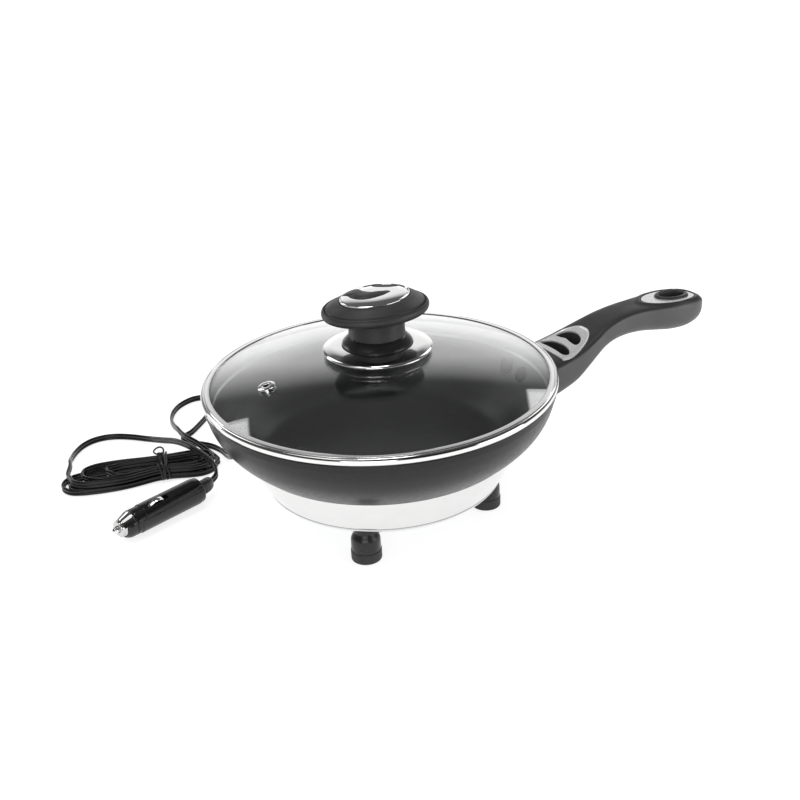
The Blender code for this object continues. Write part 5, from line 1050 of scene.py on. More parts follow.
# %% The cap
CAP_LENGTH, CAP_WIDTH, CAP_LOW, BEAD_LOW, BEAD_TOP, CAP_TOP = 0.0800, 0.0650, 0.1537, 0.1565, 0.1630, 0.1680
BEAD = BEAD_TOP - BEAD_LOW
INLAY_LENGTH, INLAY_WIDTH, INLAY_TURN = 0.0540, 0.0390, math.radians(6)
POCKET_FLOOR = CAP_TOP - 0.0011


def oval_grid(rows, columns=160):
    """Each row (length, width, height, turn) is an ellipse turned by that angle, its points kept in step:
    (length/2 cos(a - turn), width/2 sin(a - turn)), then turned back by the same angle."""
    angle = np.arange(columns)[None] * math.tau / columns - rows[:, 3:4]
    x, y = rows[:, 0:1] / 2 * np.cos(angle), rows[:, 1:2] / 2 * np.sin(angle)
    c, s = np.cos(rows[:, 3:4]), np.sin(rows[:, 3:4])
    return placed(np.stack([x * c - y * s, x * s + y * c, rows[:, 2:3] + 0 * x], -1), PAN)


def cap_rows():
    """Skirt, bead, groove and dome of the cap as ovals from the bottom up, then down into the pocket."""
    skirt_end = 0.0417
    bead_angle = np.linspace(-1.25, 1.28, 18)
    grow = BEAD * 0.72 * (np.cos(bead_angle) - 1)
    height = (BEAD_LOW + BEAD_TOP) / 2 + BEAD / 2 * np.sin(bead_angle)
    bead = np.stack([CAP_LENGTH + grow, CAP_WIDTH + grow, height, 0 * grow], axis=1)
    share = np.linspace(0, 0.92, 8)[:, None]
    neck_end, bead_end = np.array([[skirt_end, skirt_end, 0, 0]]), np.array([[bead[0, 0], bead[0, 1], 0, 0]])
    skirt = (1 - share) * neck_end + share * bead_end
    skirt[:, 2] = CAP_LOW + (bead[0, 2] - CAP_LOW) * share[:, 0] ** 2
    length, width = CAP_LENGTH - BEAD * 0.80, CAP_WIDTH - BEAD * 0.80
    valley = softened([
        (bead[-1, 0], bead[-1, 1], bead[-1, 2], 0), (length, width, BEAD_TOP - 0.0013, 0),
        (length - 0.0018, width - 0.0018, BEAD_TOP + 0.0006, 0),
        (length - 0.0050, width - 0.0050, BEAD_TOP + 0.0016, 0),
    ], [0, 0.0004, 0.0006, 0], 5)[5:-5]
    start = np.array([length - 0.0036, width - 0.0036, BEAD_TOP + 0.0012, 0])
    end = np.array([INLAY_LENGTH + 0.0018, INLAY_WIDTH + 0.0018, CAP_TOP, INLAY_TURN])
    rise = np.linspace(0, 1, 16)[:, None]
    dome = start + (end - start) * rise
    dome[:, 2] = start[2] + (end[2] - start[2]) * np.sin(rise[:, 0] * 1.35) / math.sin(1.35)
    pocket = [
        (INLAY_LENGTH + 0.0009, INLAY_WIDTH + 0.0009, CAP_TOP - 0.0002, INLAY_TURN),
        (INLAY_LENGTH + 0.0008, INLAY_WIDTH + 0.0008, POCKET_FLOOR, INLAY_TURN),
        (0, 0, POCKET_FLOOR, INLAY_TURN),
    ]
    return np.vstack([[(0, 0, CAP_LOW, 0)], skirt, bead, valley, dome, pocket])


cap = piece("knob_oval_cap", [skin(oval_grid(cap_rows()))], "soft_touch_black", ("knob_cap",), "lid")
cut_out(cap, rod(BOLT_BORE, 0.150, 0.1604, PAN, 32))

# %% [markdown]
# ### Teardrop openings
# The knob's inlay has two teardrops cut through it, and so has the handle's. A closed smooth curve through a few
# points gives each teardrop's outline, in shares of two half sizes, and a prism of it does the cutting.

# %% Teardrops
MAIN_DROP = (
    (-0.640, 0.46), (-0.655, 0.146), (-0.540, -0.170), (-0.294, -0.330), (0.057, -0.337), (0.264, -0.263),
    (0.408, -0.176), (0.350, -0.015), (0.120, 0.088), (-0.068, 0.273), (-0.160, 0.540), (-0.150, 0.850),
    (-0.230, 1.140), (-0.520, 1.120), (-0.690, 0.800),
)
SMALL_DROP = (
    (0.330, 0.440), (0.600, 0.200), (0.860, 0.210), (0.790, 0.470), (0.600, 0.690), (0.330, 0.810), (0.240, 0.640),
)


def drop_cutter(shares, half_length, half_width, low, high, place):
    """An upright prism whose outline is a smooth closed curve through shares of two half sizes."""
    outline = through(np.array(shares) * (half_length, half_width), 8, closed=True)
    rings = [np.column_stack([outline, np.full(len(outline), height)]) for height in (low, high)]
    return skin(placed(np.array(rings), place), caps=True)


print("points in the two teardrops:", len(MAIN_DROP), "and", len(SMALL_DROP))

# %% [markdown]
# ### The knob's inlay
# The inlay is a crowned steel leaf with a fine raised rim. It leans a little in its pocket, so its far side
# catches more light. A narrow rounded edge round the openings gives the bright line that cut metal has.

# %% The inlay
LEAF_RISE, LEAF_SPAN, LEAF_LEAN = 0.0018, 0.955, 0.0016
leaf_base = POCKET_FLOOR + FIT_GAP
leaf_edge = leaf_base + 0.0008
rim_turn = np.linspace(0, math.pi, 9)
rim_shares = 1 - 0.0175 * (1 - np.cos(rim_turn))
crown = np.linspace(0.945, 0, 18)


def edge_softened(item, width):
    """A narrow rounded edge wherever two faces meet more sharply than the smoothing angle."""
    change = item.modifiers.new("soft_edge", "BEVEL")
    change.width, change.segments = width, 2
    change.limit_method, change.angle_limit = "ANGLE", SMOOTH_ANGLE


def crown_height(radius):
    """The leaf's height where the oval's own radius is r: edge + rise (1 - (r / span)^4)."""
    return leaf_edge + LEAF_RISE * (1 - (radius / LEAF_SPAN) ** 4)


def leaned(grid):
    """The inlay leans towards the near side: each point above its foot rises by lean (1 + y / half) / 2."""
    rise = LEAF_LEAN * (1 + grid[..., 1] / (INLAY_WIDTH / 2)) / 2
    grid[..., 2] += rise * (grid[..., 2] > leaf_base + 0.0001)
    return grid


leaf_shares = np.concatenate([[0, 1.0], rim_shares, [0.958], crown])
leaf_heights = np.concatenate([
    [leaf_base, leaf_base], leaf_edge + 0.0005 * np.sin(rim_turn), [leaf_edge - 0.0002], crown_height(crown),
])
leaf_turns = np.full(len(leaf_shares), INLAY_TURN)
leaf_rows = np.column_stack([leaf_shares * INLAY_LENGTH, leaf_shares * INLAY_WIDTH, leaf_heights, leaf_turns])
leaf = piece("knob_leaf_inlay", [skin(leaned(oval_grid(leaf_rows, 192)))], "polished_steel", ("knob_inlay",), "lid")
leaf_place = turn_about_z(INLAY_TURN, PAN_X)
cut_out(leaf, *[drop_cutter(shares, INLAY_LENGTH / 2, INLAY_WIDTH / 2, 0.160, 0.176, leaf_place)
                for shares in (MAIN_DROP, SMALL_DROP)])
edge_softened(leaf, 0.00035)

# %% [markdown]
# ### The black drops
# Black pads fill the teardrops almost to the brim and swell above it. Each is the teardrop's own outline drawn
# in by half a millimetre, which leaves a fine groove, then shrunk in rings towards its middle.

# %% Drop pads
PAD_GROOVE = PAD_SHOULDER = 0.0005


def drop_pad(shares, middle, bulge):
    """A black pad that fills a teardrop but for a fine groove: rings of the drawn-in outline, each s of its
    size about the middle, at crown + bulge (1 - s^3) less a rounded shoulder that grows with s^10."""
    half = np.array([INLAY_LENGTH / 2, INLAY_WIDTH / 2])
    outline = through(np.array(shares) * half, 8, closed=True)
    run = unit(np.roll(outline, -1, axis=0) - np.roll(outline, 1, axis=0))
    x, y = outline.T
    turning = np.sign(np.sum(x * np.roll(y, -1) - np.roll(x, -1) * y))
    outline = outline - PAD_GROOVE * turning * np.stack([run[:, 1], -run[:, 0]], axis=1)
    size = np.linspace(1, 0, 14)[:, None]
    spots = np.array(middle) * half + (outline - np.array(middle) * half) * size[..., None]
    height = crown_height(np.linalg.norm(spots / half, axis=2)) + bulge * (1 - size**3) - PAD_SHOULDER * size**10
    top = np.concatenate([spots, height[..., None]], axis=2)
    base = np.concatenate([spots[[-1, 0]], np.full((2, len(outline), 1), POCKET_FLOOR - 0.0004)], axis=2)
    return skin(leaned(placed(np.concatenate([base, top]), leaf_place)))


pads = [drop_pad(MAIN_DROP, (-0.28, 0.05), 0.0014), drop_pad(SMALL_DROP, (0.56, 0.50), 0.0004)]
piece("knob_drop_pads", pads, "soft_touch_black", body="lid")

# %% [markdown]
# ## The handle
# The grip is one long moulding: at each place along it there is a width, a top and an underside, and the
# section is a rounded box, fuller above than below. A smooth curve through the stations and a power curve for
# the section give the whole surface; the pockets, the hanging hole and the bowl's room are then cut out.

# %% Stations along the grip
HANDLE_ROOT, HANDLE_REACH, HANDLE_LOW, HANDLE_HIGH, HANDLE_WIDE = 0.1120, 0.3030, 0.0520, 0.1102, 0.0500
TOP_FULLNESS, UNDER_FULLNESS = 6.0, 2.2
HANDLE_SHARES = (
    (0.000, 1.02, 0.600, 0.000), (0.094, 1.04, 0.625, 0.020), (0.157, 1.04, 0.648, 0.062),
    (0.209, 1.02, 0.675, 0.115), (0.272, 0.98, 0.722, 0.200), (0.330, 0.90, 0.782, 0.335),
    (0.387, 0.79, 0.852, 0.464), (0.435, 0.69, 0.915, 0.550), (0.487, 0.635, 0.965, 0.612),
    (0.545, 0.600, 1.000, 0.641), (0.607, 0.600, 1.018, 0.645), (0.670, 0.64, 1.021, 0.628),
    (0.733, 0.72, 1.017, 0.595), (0.796, 0.760, 1.010, 0.562), (0.859, 0.745, 1.000, 0.548),
    (0.911, 0.675, 0.984, 0.565), (0.953, 0.545, 0.962, 0.606), (0.984, 0.360, 0.925, 0.672),
    (0.996, 0.200, 0.885, 0.722), (1.000, 0.06, 0.835, 0.785),
)
REAR_PLACE, REAR_LENGTH, REAR_WIDTH = 0.2697, 0.0515, 0.0270
RING_PLACE, HOLE_LENGTH, HOLE_WIDTH = 0.2735, 0.0235, 0.0125
stations = through(HANDLE_SHARES, 7) * (HANDLE_REACH - HANDLE_ROOT, HANDLE_WIDE / 2, 1, 1)
stations[:, 0] += HANDLE_ROOT
stations[:, 2:] = HANDLE_LOW + stations[:, 2:] * (HANDLE_HIGH - HANDLE_LOW)
stations[:, 0] = np.minimum(np.maximum.accumulate(stations[:, 0]), HANDLE_REACH)
print(len(stations), "stations along the grip")

# %% [markdown]
# ### The grip's section
# Powers of a circle's cosine and sine give a rounded box: fuller above, where the thumb lies, and rounder below.
# Round the rear inlay the moulding rises in a low lip.

# %% Sections
def lip_height(x, y):
    """A raised lip round the rear inlay: a soft ridge where the oval's own radius is about 1.15."""
    radius = np.hypot((x - REAR_PLACE) / (REAR_LENGTH / 2), y / (REAR_WIDTH / 2))
    return 0.0013 * np.exp(-(((radius - 1.15) / 0.09) ** 2))


def grip_top(x, y):
    """Height of the grip's upper face: middle + (top - middle) (1 - |y / half|^n)^(1/n)."""
    half, top, under = (np.interp(x, stations[:, 0], stations[:, k]) for k in (1, 2, 3))
    middle = (top + under) / 2
    inside = np.clip(1 - np.abs(y / half) ** TOP_FULLNESS, 0, 1)
    return middle + (top - middle) * inside ** (1 / TOP_FULLNESS)


def grip_ring(station, columns=112):
    """One section: y = half |cos a|^(2/n), z = middle + rise |sin a|^(2/n), read off at even steps round it."""
    x, half, top, under = station
    angle = np.linspace(0, math.tau, 1441)
    power = np.where(np.sin(angle) > 0, 2 / TOP_FULLNESS, 2 / UNDER_FULLNESS)
    y = half * flat_power(np.cos(angle), power)
    z = (top + under) / 2 + (top - under) / 2 * flat_power(np.sin(angle), power)
    ring = np.stack([y, z], axis=1)
    along = np.concatenate([[0], np.cumsum(np.linalg.norm(np.diff(ring, axis=0), axis=1))])
    wanted = np.linspace(0, along[-1], columns, endpoint=False)
    y, z = (np.interp(wanted, along, column) for column in ring.T)
    z = z + np.where(z > (top + under) / 2, lip_height(x, y), 0)
    return np.stack([np.full(columns, x), y, z], axis=1)


grip_rings = np.array([grip_ring(station) for station in stations])
print("the grip's grid:", grip_rings.shape)

# %% [markdown]
# ### Plates that follow the grip
# The two inlays lie in the grip's top and follow its curve, and the pockets for them are the same plates, let
# out by a gap and made thicker. So one function makes both: places along the handle, with how far the plate
# reaches to each side there.

# %% Plates and their plans
def on_grip(places, rights, lefts, lift, sink, across=44, rim=0.0):
    """A plate that follows the grip's top: rows along the handle, each row across at two heights. The rows'
    points crowd towards both sides, y = (1 - cos(pi t)) / 2, where a soft rim may stand up."""
    x = places[:, None]
    spread = (1 - np.cos(np.linspace(0, math.pi, across)[None])) / 2
    wide = (rights + lefts)[:, None]
    y = -rights[:, None] + wide * spread
    from_side = np.minimum(np.minimum(spread, 1 - spread) * wide, (places[-1] - places)[:, None] * 0.8)
    top = grip_top(x + 0 * y, y) + rim * np.exp(-(((from_side - 0.0006) / 0.0006) ** 2))
    upper = np.stack([x + 0 * y, y, top + lift], -1)
    lower = np.stack([x + 0 * y, y, top - sink], -1)[:, ::-1]
    return skin(placed(np.concatenate([upper, lower], axis=1), PAN), caps=True)


FRONT_SHARES = (
    (0.194, 0.82, 0.70), (0.220, 0.87, 0.71), (0.251, 0.87, 0.705), (0.283, 0.83, 0.70), (0.314, 0.765, 0.69),
    (0.338, 0.69, 0.655), (0.358, 0.56, 0.57), (0.373, 0.40, 0.44), (0.382, 0.24, 0.28), (0.386, 0.10, 0.12),
)


def front_plan(gap):
    """The front inlay's places and its two sides, let out by a gap."""
    plan = through(FRONT_SHARES, 6)
    places = HANDLE_ROOT + plan[:, 0] * (HANDLE_REACH - HANDLE_ROOT)
    halves = np.interp(places, stations[:, 0], stations[:, 1])
    places[0] -= gap
    places[-1] += gap
    return places, plan[:, 1] * halves + gap, plan[:, 2] * halves + gap


def rear_plan(gap):
    """The rear inlay's oval as places and half widths: x = a cos t, y = b sin t."""
    turn = np.linspace(math.pi, 0, 50)[1:-1]
    halves = (REAR_WIDTH / 2 + gap) * np.sin(turn)
    return REAR_PLACE + (REAR_LENGTH / 2 + gap) * np.cos(turn), halves, halves


def oval_prism(length, width, low, high):
    """An upright oval prism at the hanging hole, for cutting."""
    angle = np.arange(72) * math.tau / 72
    rings = [np.stack([RING_PLACE + length / 2 * np.cos(angle), width / 2 * np.sin(angle), height + 0 * angle], -1)
             for height in (low, high)]
    return skin(placed(np.array(rings), PAN), caps=True)


print("the front inlay reaches", np.round(front_plan(0)[0][[0, -1]], 4), "along the handle")

# %% [markdown]
# ### The front inlay's openings
# Two more teardrops, one near the bowl and one further out, go through the leaf and into the grip below, so
# black moulding shows at the bottom of each.

# %% Openings in the front inlay
OUTER_DROP = (
    (0.492, 0.56), (0.635, 0.528), (0.760, 0.34), (0.797, 0.022), (0.727, -0.308), (0.597, -0.492),
    (0.502, -0.458), (0.505, -0.178), (0.535, 0.108), (0.497, 0.352),
)
ROOT_DROP = (
    (0.106, 0.640), (0.224, 0.550), (0.330, 0.316), (0.370, -0.094), (0.313, -0.516), (0.199, -0.726),
    (0.110, -0.596), (0.118, -0.226), (0.120, 0.168),
)
OPENING_FLOOR, CUT_TOP = 0.0835, 0.12


def front_drops(low):
    """Prisms through the front inlay's two teardrops, from a height up."""
    plan = front_plan(0)[0]
    start = frame_of((PAN_X + plan[0], 0, 0), (1, 0, 0), (0, 1, 0), UP)
    return [drop_cutter(shares, plan[-1] - plan[0], HANDLE_WIDE / 2, low, CUT_TOP, start)
            for shares in (OUTER_DROP, ROOT_DROP)]


print("prisms for the openings:", len(front_drops(OPENING_FLOOR)))

# %% [markdown]
# ### The grip
# The grid of sections makes the solid grip. Then everything it must make room for is cut out: the bowl's wall
# with a gap, the bracket's tongue, the two pockets, the hanging hole and the two openings.

# %% The grip
WALL_GAP, POCKET_GAP, POCKET_DEPTH = 0.0031, 0.0006, 0.0016
HOLE_ROOM = 0.0050
TONGUE_SIDE, TONGUE_LOW, TONGUE_HIGH = 0.0063, 0.0753, 0.0819
grip = piece("grip_moulding", [skin(placed(grip_rings, PAN), caps=True)], "soft_touch_black", ("handle_grip",))
room = inset(outer, -WALL_GAP)
room_profile = np.vstack([[(0, 0), (room[0, 0], 0)], room, [(room[-1, 0], CUT_TOP), (0, CUT_TOP)]])
bracket_low, bracket_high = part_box("handle_bracket")
tongue_ends = (bracket_low[0], bracket_high[0] + FIT_GAP)
tongue_corners = ((-1, TONGUE_LOW), (1, TONGUE_LOW), (1, TONGUE_HIGH), (-1, TONGUE_HIGH))
tongue = np.array([[(x, side * TONGUE_SIDE, z) for side, z in tongue_corners] for x in tongue_ends])
hole_prism = oval_prism(HOLE_LENGTH + HOLE_ROOM, HOLE_WIDTH + HOLE_ROOM, 0.05, CUT_TOP)
cut_out(
    grip, skin(turned(room_profile, PAN, 192)), skin(tongue, caps=True),
    on_grip(*front_plan(POCKET_GAP), 0.004, POCKET_DEPTH), on_grip(*rear_plan(POCKET_GAP), 0.004, POCKET_DEPTH),
    hole_prism, *front_drops(OPENING_FLOOR),
)

# %% [markdown]
# ### Painted light on the flanks
# The grip's flanks are painted paler for the light they catch. The surface's own direction tells where that
# is: the flanks turn down, the top doesn't.

# %% Flanks
def paint_flank_light(points, normals):
    """Painted flank light: 0 on top of the grip and 1 where its surface turns down past about 55 degrees."""
    lean = np.clip((0.66 - normals[:, 2]) / 0.30, 0, 1)
    return lean * lean * (3 - 2 * lean)


# Painted light on the grip's flanks.
mark(grip, "painted_flank_light", paint_flank_light)

# %% [markdown]
# ### The handle's leaves
# Two satin leaves are let into the grip. The front one has a fine raised rim and the two teardrops, and the
# rear one is an oval with room for the hanging hole's eyelet.

# %% The leaves
LEAF_DEPTH, LEAF_EDGE_WIDTH = 0.0010, 0.00030
front = piece("front_leaf", [on_grip(*front_plan(0), 0.0003, LEAF_DEPTH, rim=0.0005)], "brushed_aluminium",
              ("handle_front_inlay",))
cut_out(front, *front_drops(0.06))
edge_softened(front, LEAF_EDGE_WIDTH)
rear = piece("rear_leaf", [on_grip(*rear_plan(0), 0.0004, LEAF_DEPTH)], "brushed_aluminium", ("handle_rear_inlay",))
cut_out(rear, hole_prism)
edge_softened(rear, LEAF_EDGE_WIDTH)

# %% [markdown]
# ### The hanging eyelet
# An oval sleeve lines the hole, with a soft collar that lies on the grip's curved top. Its rows go once round
# its section, so they close on themselves.

# %% The eyelet
RING_WALL, COLLAR_WIDTH, COLLAR_LIFT, COLLAR_ROUND = 0.0044, 0.0085, 0.0006, 0.0017


def ring_row(length, width, height=None, lift=0.0, columns=112):
    """An oval row of the eyelet: level at a height, or lying on the grip's top with a lift."""
    angle = np.arange(columns) * math.tau / columns
    x, y = RING_PLACE + length / 2 * np.cos(angle), width / 2 * np.sin(angle)
    z = grip_top(x, y) + lift if height is None else height + 0 * angle
    return np.stack([x, y, z], axis=1)


ring_top, ring_under = (float(np.interp(RING_PLACE, stations[:, 0], stations[:, k])) for k in (2, 3))
ring_foot = ring_under + (ring_top - ring_under) * 0.1
ring_rows = [
    ring_row(HOLE_LENGTH, HOLE_WIDTH, ring_foot),
    ring_row(HOLE_LENGTH + RING_WALL, HOLE_WIDTH + RING_WALL, ring_foot),
    ring_row(HOLE_LENGTH + RING_WALL, HOLE_WIDTH + RING_WALL, lift=COLLAR_LIFT),
    ring_row(HOLE_LENGTH + COLLAR_WIDTH, HOLE_WIDTH + COLLAR_WIDTH, lift=COLLAR_LIFT),
]
for angle in np.linspace(0, math.pi, 12):
    grow = COLLAR_WIDTH / 2 * (1 + math.cos(angle))
    lift = COLLAR_LIFT + COLLAR_ROUND * math.sin(angle)
    ring_rows.append(ring_row(HOLE_LENGTH + grow, HOLE_WIDTH + grow, lift=lift))
piece("hanging_ring", [skin(placed(np.array(ring_rows), PAN), round_rows=True)], "soft_touch_black", ("hang_ring",))

# %% [markdown]
# ## The plug
# A car-socket plug: a glossy body with a stepped collar, a metal nose cone, a sprung pin and two arched side
# contacts. The collar's edge is stepped, so the body's radius is a function of both the place along it and the
# angle round it.

# %% The plug's body
plug_along = np.array([math.cos(PLUG_ANGLE), math.sin(PLUG_ANGLE), 0])
PLUG = frame_of(PLUG_TIP, UP, np.cross(plug_along, UP), plug_along)
SHOULDER = 0.0164
CONE_START, CONE_RADIUS, CONE_SLOPE = 0.0070, 0.0066, 0.418


def collar_rows(angle):
    """The body's front lip: below, it reaches forward over the cone, and each row slides back to the shoulder
    above. Its radius stays just off the cone's: r = cone radius + slope (s - cone start) + gap."""
    low = 1 / (1 + np.exp((np.cos(angle + 0.61) + 0.16) / 0.07))
    front = SHOULDER + 0.0002 - 0.0084 * low
    share = np.array([0, 0, 0.04, 0.15, 0.3, 0.5, 0.7, 0.9])[:, None]
    s = front[None] + (SHOULDER + 0.0004 - front[None]) * share
    off_cone = CONE_RADIUS + CONE_SLOPE * (s - CONE_START)
    thick = np.array([0.0003, 0.0007, 0.0011, 0.0013, 0.0013, 0.0012, 0.0010, 0.0008])[:, None]
    radius = np.minimum(off_cone + thick * low[None] + 0.0001, 0.0100)
    return radius, s


def plug_grid(columns=160):
    """Radius r(s, a): the profile of the body less a step of half a millimetre in front of the collar's edge,
    which lies at one place for half of the round and further back for the other half."""
    outside = softened([
        (0.0083, SHOULDER), (0.0100, SHOULDER), (PLUG_RADIUS, SHOULDER + 0.0012), (PLUG_RADIUS, 0.0740),
        (PLUG_RADIUS - 0.0007, PLUG_LENGTH - 0.0006), (0.0088, PLUG_LENGTH), (0.0036, PLUG_LENGTH),
    ], [0, 0.0005, 0.0008, 0.0012, 0.0010, 0.0004, 0], 6)
    fine = np.vstack([outside[:18], [(PLUG_RADIUS, s) for s in np.linspace(0.0180, 0.0300, 81)], outside[18:]])
    inside = np.array([(0.0036, 0.0730), (0.0070, 0.0730), (0.0070, 0.0243), (0.0083, 0.0243)])
    angle = np.arange(columns) * math.tau / columns
    edge = 0.0205 + 0.0046 / (1 + np.exp(-(np.cos(angle + 0.35)) / 0.03))
    s = fine[:, 1, None]
    step = 0.00055 / (1 + np.exp((s - edge[None]) / 0.00012)) * (s > SHOULDER + 0.0004)
    line = 0.00035 * np.exp(-(((s - edge[None]) / 0.00025) ** 2))
    radius = fine[:, 0, None] - step - line
    s = s + 0 * angle
    lip_radius, lip_s = collar_rows(angle)
    radius, s = np.vstack([lip_radius, radius[3:]]), np.vstack([lip_s, s[3:]])
    shell = np.stack([radius * np.cos(angle), radius * np.sin(angle), s], -1)
    return placed(np.concatenate([shell, turned(inside, np.eye(4), columns)]), PLUG)


plug_body = piece("plug_barrel", [skin(plug_grid(), round_rows=True)], "gloss_black", ("plug_body",))

# %% [markdown]
# ### Slots for the side contacts
# Each contact looks out through a slot in the body. A slot is a plain box a little larger than the strip, set
# at the contact's own place, so the strip and its slot can't drift apart.

# %% The slots
CONTACT_ROLL, CONTACT_PLACE, CONTACT_LENGTH, CONTACT_WIDTH = math.radians(71), 0.0385, 0.0190, 0.0036
SLOT_GAP = 0.0004


def contact_place(turn):
    """A place at a side contact: X out of the body, Z along it."""
    roll = turn_about_z(math.pi / 2 - CONTACT_ROLL + turn)
    roll[:3, 3] = (0, 0, CONTACT_PLACE)
    return PLUG @ roll


def box_skin(low, high, place):
    """A plain box between two corners, for cutting slots only."""
    (x0, y0, z0), (x1, y1, z1) = low, high
    rings = [[(x0, y0, z), (x1, y0, z), (x1, y1, z), (x0, y1, z)] for z in (z0, z1)]
    return skin(placed(np.array(rings, float), place), caps=True)


half_slot, half_long = CONTACT_WIDTH / 2 + SLOT_GAP, CONTACT_LENGTH / 2 + SLOT_GAP
cut_out(plug_body, *[box_skin((0.0062, -half_slot, -half_long), (0.0125, half_slot, half_long), contact_place(turn))
                     for turn in (0.0, math.pi)])

# %% [markdown]
# ### The nose and the pin
# The nose cone screws on and is handled often, so its steel is a little dull all over. The pin slides in its
# bore: a rounded end, and a collar behind that keeps it in.

# %% The nose and the pin
NOSE_DULL = 0.45
nose_profile = softened([
    (0.0030, 0.0046), (0.0062, 0.0046), (0.0066, 0.0052), (0.0066, 0.0070), (0.0099, 0.0149), (0.0099, 0.0161),
    (0.0080, 0.0161), (0.0080, 0.0229), (0.0068, 0.0229), (0.0068, 0.0137), (0.0054, 0.0058), (0.0030, 0.0058),
], [0.0003, 0.0004, 0.0004, 0.0008, 0.0007, 0.0003, 0, 0, 0, 0, 0, 0], 7)
nose = turned_piece("plug_nose_cone", nose_profile, PLUG, 96, "polished_steel", "plug_nose")
mark(nose, "groove", lambda points, normals: np.full(len(points), NOSE_DULL))
PIN_RADIUS, PIN_COLLAR, PIN_TAIL = 0.0026, 0.0046, 0.0026
tip_low, tip_high = 0.0061, 0.0073
tip_profile = softened([
    (0, 0), (0.0012, 0), (PIN_RADIUS, 0.0014), (PIN_RADIUS, tip_low), (PIN_COLLAR, tip_low), (PIN_COLLAR, tip_high),
    (PIN_RADIUS, tip_high), (PIN_RADIUS, tip_high + PIN_TAIL), (0, tip_high + PIN_TAIL),
], [0, 0.0006, 0.0007, 0, 0, 0, 0, 0, 0], 7)
turned_piece("plug_pin", tip_profile, PLUG, 64, "polished_steel", "plug_tip", "plug_tip", hollow=False)

# %% [markdown]
# ### The pin's spring
# A coil spring behind the pin pushes it out. When the pin goes in, the coil shortens from the pin's side and
# stays put at the fuse, so it squashes along the plug.

# %% The pin's spring
SPRING_RADIUS, SPRING_WIRE, SPRING_LENGTH, SPRING_TURNS = 0.0036, 0.0004, 0.0120, 5


def spring_line(count=361):
    """A helix with its two end turns pressed flat: height = wire + run (3 s^2 - 2 s^3 + 2 s) / 3."""
    share = np.linspace(0, 1, count)
    turn = share * math.tau * SPRING_TURNS
    rise = (3 * share**2 - 2 * share**3 + 2 * share) / 3
    height = tip_high + FIT_GAP + SPRING_WIRE + rise * (SPRING_LENGTH - 2 * SPRING_WIRE)
    return np.stack([SPRING_RADIUS * np.cos(turn), SPRING_RADIUS * np.sin(turn), height], axis=1)


spring = piece("pin_spring", [skin(placed(swept(spring_line(), round_section(SPRING_WIRE, 8)), PLUG), caps=True)],
               "galvanised_steel", ("plug_spring",))
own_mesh(spring)

# %% [markdown]
# ### The side contacts
# Each contact is a thin sprung strip that arches out of its slot. It presses against the socket's wall, which is
# why it stands proud and shines. The lower one carries the plug's weight on the floor, so it stands less far out.

# %% Side contacts
def contact_grid(place, peak):
    """A sprung strip: its middle line arches out as cos(t)^0.9, and a thin box section follows that line."""
    share = np.linspace(-1, 1, 61)
    foot = 0.0058
    arch = np.stack([foot + (peak - foot) * np.cos(share * math.pi / 2) ** 0.9, share * CONTACT_LENGTH / 2], axis=1)
    line = np.vstack([[(foot, -CONTACT_LENGTH / 2 - 0.0020)], arch, [(foot, CONTACT_LENGTH / 2 + 0.0020)]])
    path = np.column_stack([line[:, 0], np.zeros(len(line)), line[:, 1]])
    section = softened([(-0.0018, 0), (0.0018, 0), (0.0018, 0.0006), (-0.0018, 0.0006)], 0.00015, 3)
    grid = swept(path, section[:, ::-1] * (-1, 1), np.array([0, 1.0, 0]))
    return placed(grid, place)


for node, turn, peak in (("upper", 0.0, 0.0116), ("lower", math.pi, 0.0107)):
    piece(f"contact_leaf_{node}", [skin(contact_grid(contact_place(turn), peak), caps=True)], "polished_steel",
          (f"side_contact_{node}",), f"contact_{node}")

# %% [markdown]
# ### The plug's cord guard
# The guard is moulded round the cord: a rounded block that bends with it and tapers to its thickness, with
# grooves across so that it can flex. A neck with a flange holds it inside the body.

# %% The cord guard
GUARD_WIDTH, GUARD_HEIGHT = 0.0084, 0.0108


def relief_grid(columns=64):
    """A rounded block that bends and tapers from the plug's end to the cord; grooves run across it."""
    spots, ways = through(relief_spots, 10), unit(through(relief_ways, 10))
    place = np.linspace(0, 5, len(spots))
    taper = np.interp(place, range(6), (0.0, 0.0, 0.02, 0.06, 0.16, 0.50))
    groove = 0.0001 * (0.5 + 0.5 * np.cos(place * math.tau / 1.25)) * (place > 0.5) * (place < 4.2)
    width = GUARD_WIDTH + (CORD_THICK * 1.5 - GUARD_WIDTH) * taper - 2 * groove
    height = GUARD_HEIGHT + (CORD_WIDTH * 1.2 - GUARD_HEIGHT) * taper - groove
    angle = np.arange(columns) * math.tau / columns
    across = width[:, None] / 2 * flat_power(np.cos(angle), 0.5)
    rise = height[:, None] / 2 * flat_power(np.sin(angle), 0.5)
    side = np.stack([-ways[:, 1], ways[:, 0], 0 * ways[:, 0]], axis=1)
    block = spots[:, None] + side[:, None] * across[..., None] + UP * rise[..., None]
    neck = turned(np.array([(0.0056, 0.0712), (0.0056, 0.0727), (0.0033, 0.0727), (0.0033, 0.0789)]), PLUG, columns)
    return neck, block


neck_grid, block_grid = relief_grid()
piece("plug_cord_guard", [skin(neck_grid, caps=True), skin(block_grid, caps=True)], "black_plastic", ("plug_relief",))

# %% [markdown]

# %% [markdown]
# ## The solids that stay
# Everything else, mostly inside the base, the bracket and the knob, keeps its CAD shape and takes its finish.

# %% Finishes for the solids that stay
for name, node in sorted(nodes.items()):
    slot = node.material_slots[0].material.name.split(".")[0]
    node.material_slots[0].material = finishes[slot].material
kept = [name for name, node in nodes.items() if not node.hide_render]
print(len(kept), "solids stay:", ", ".join(sorted(kept)))

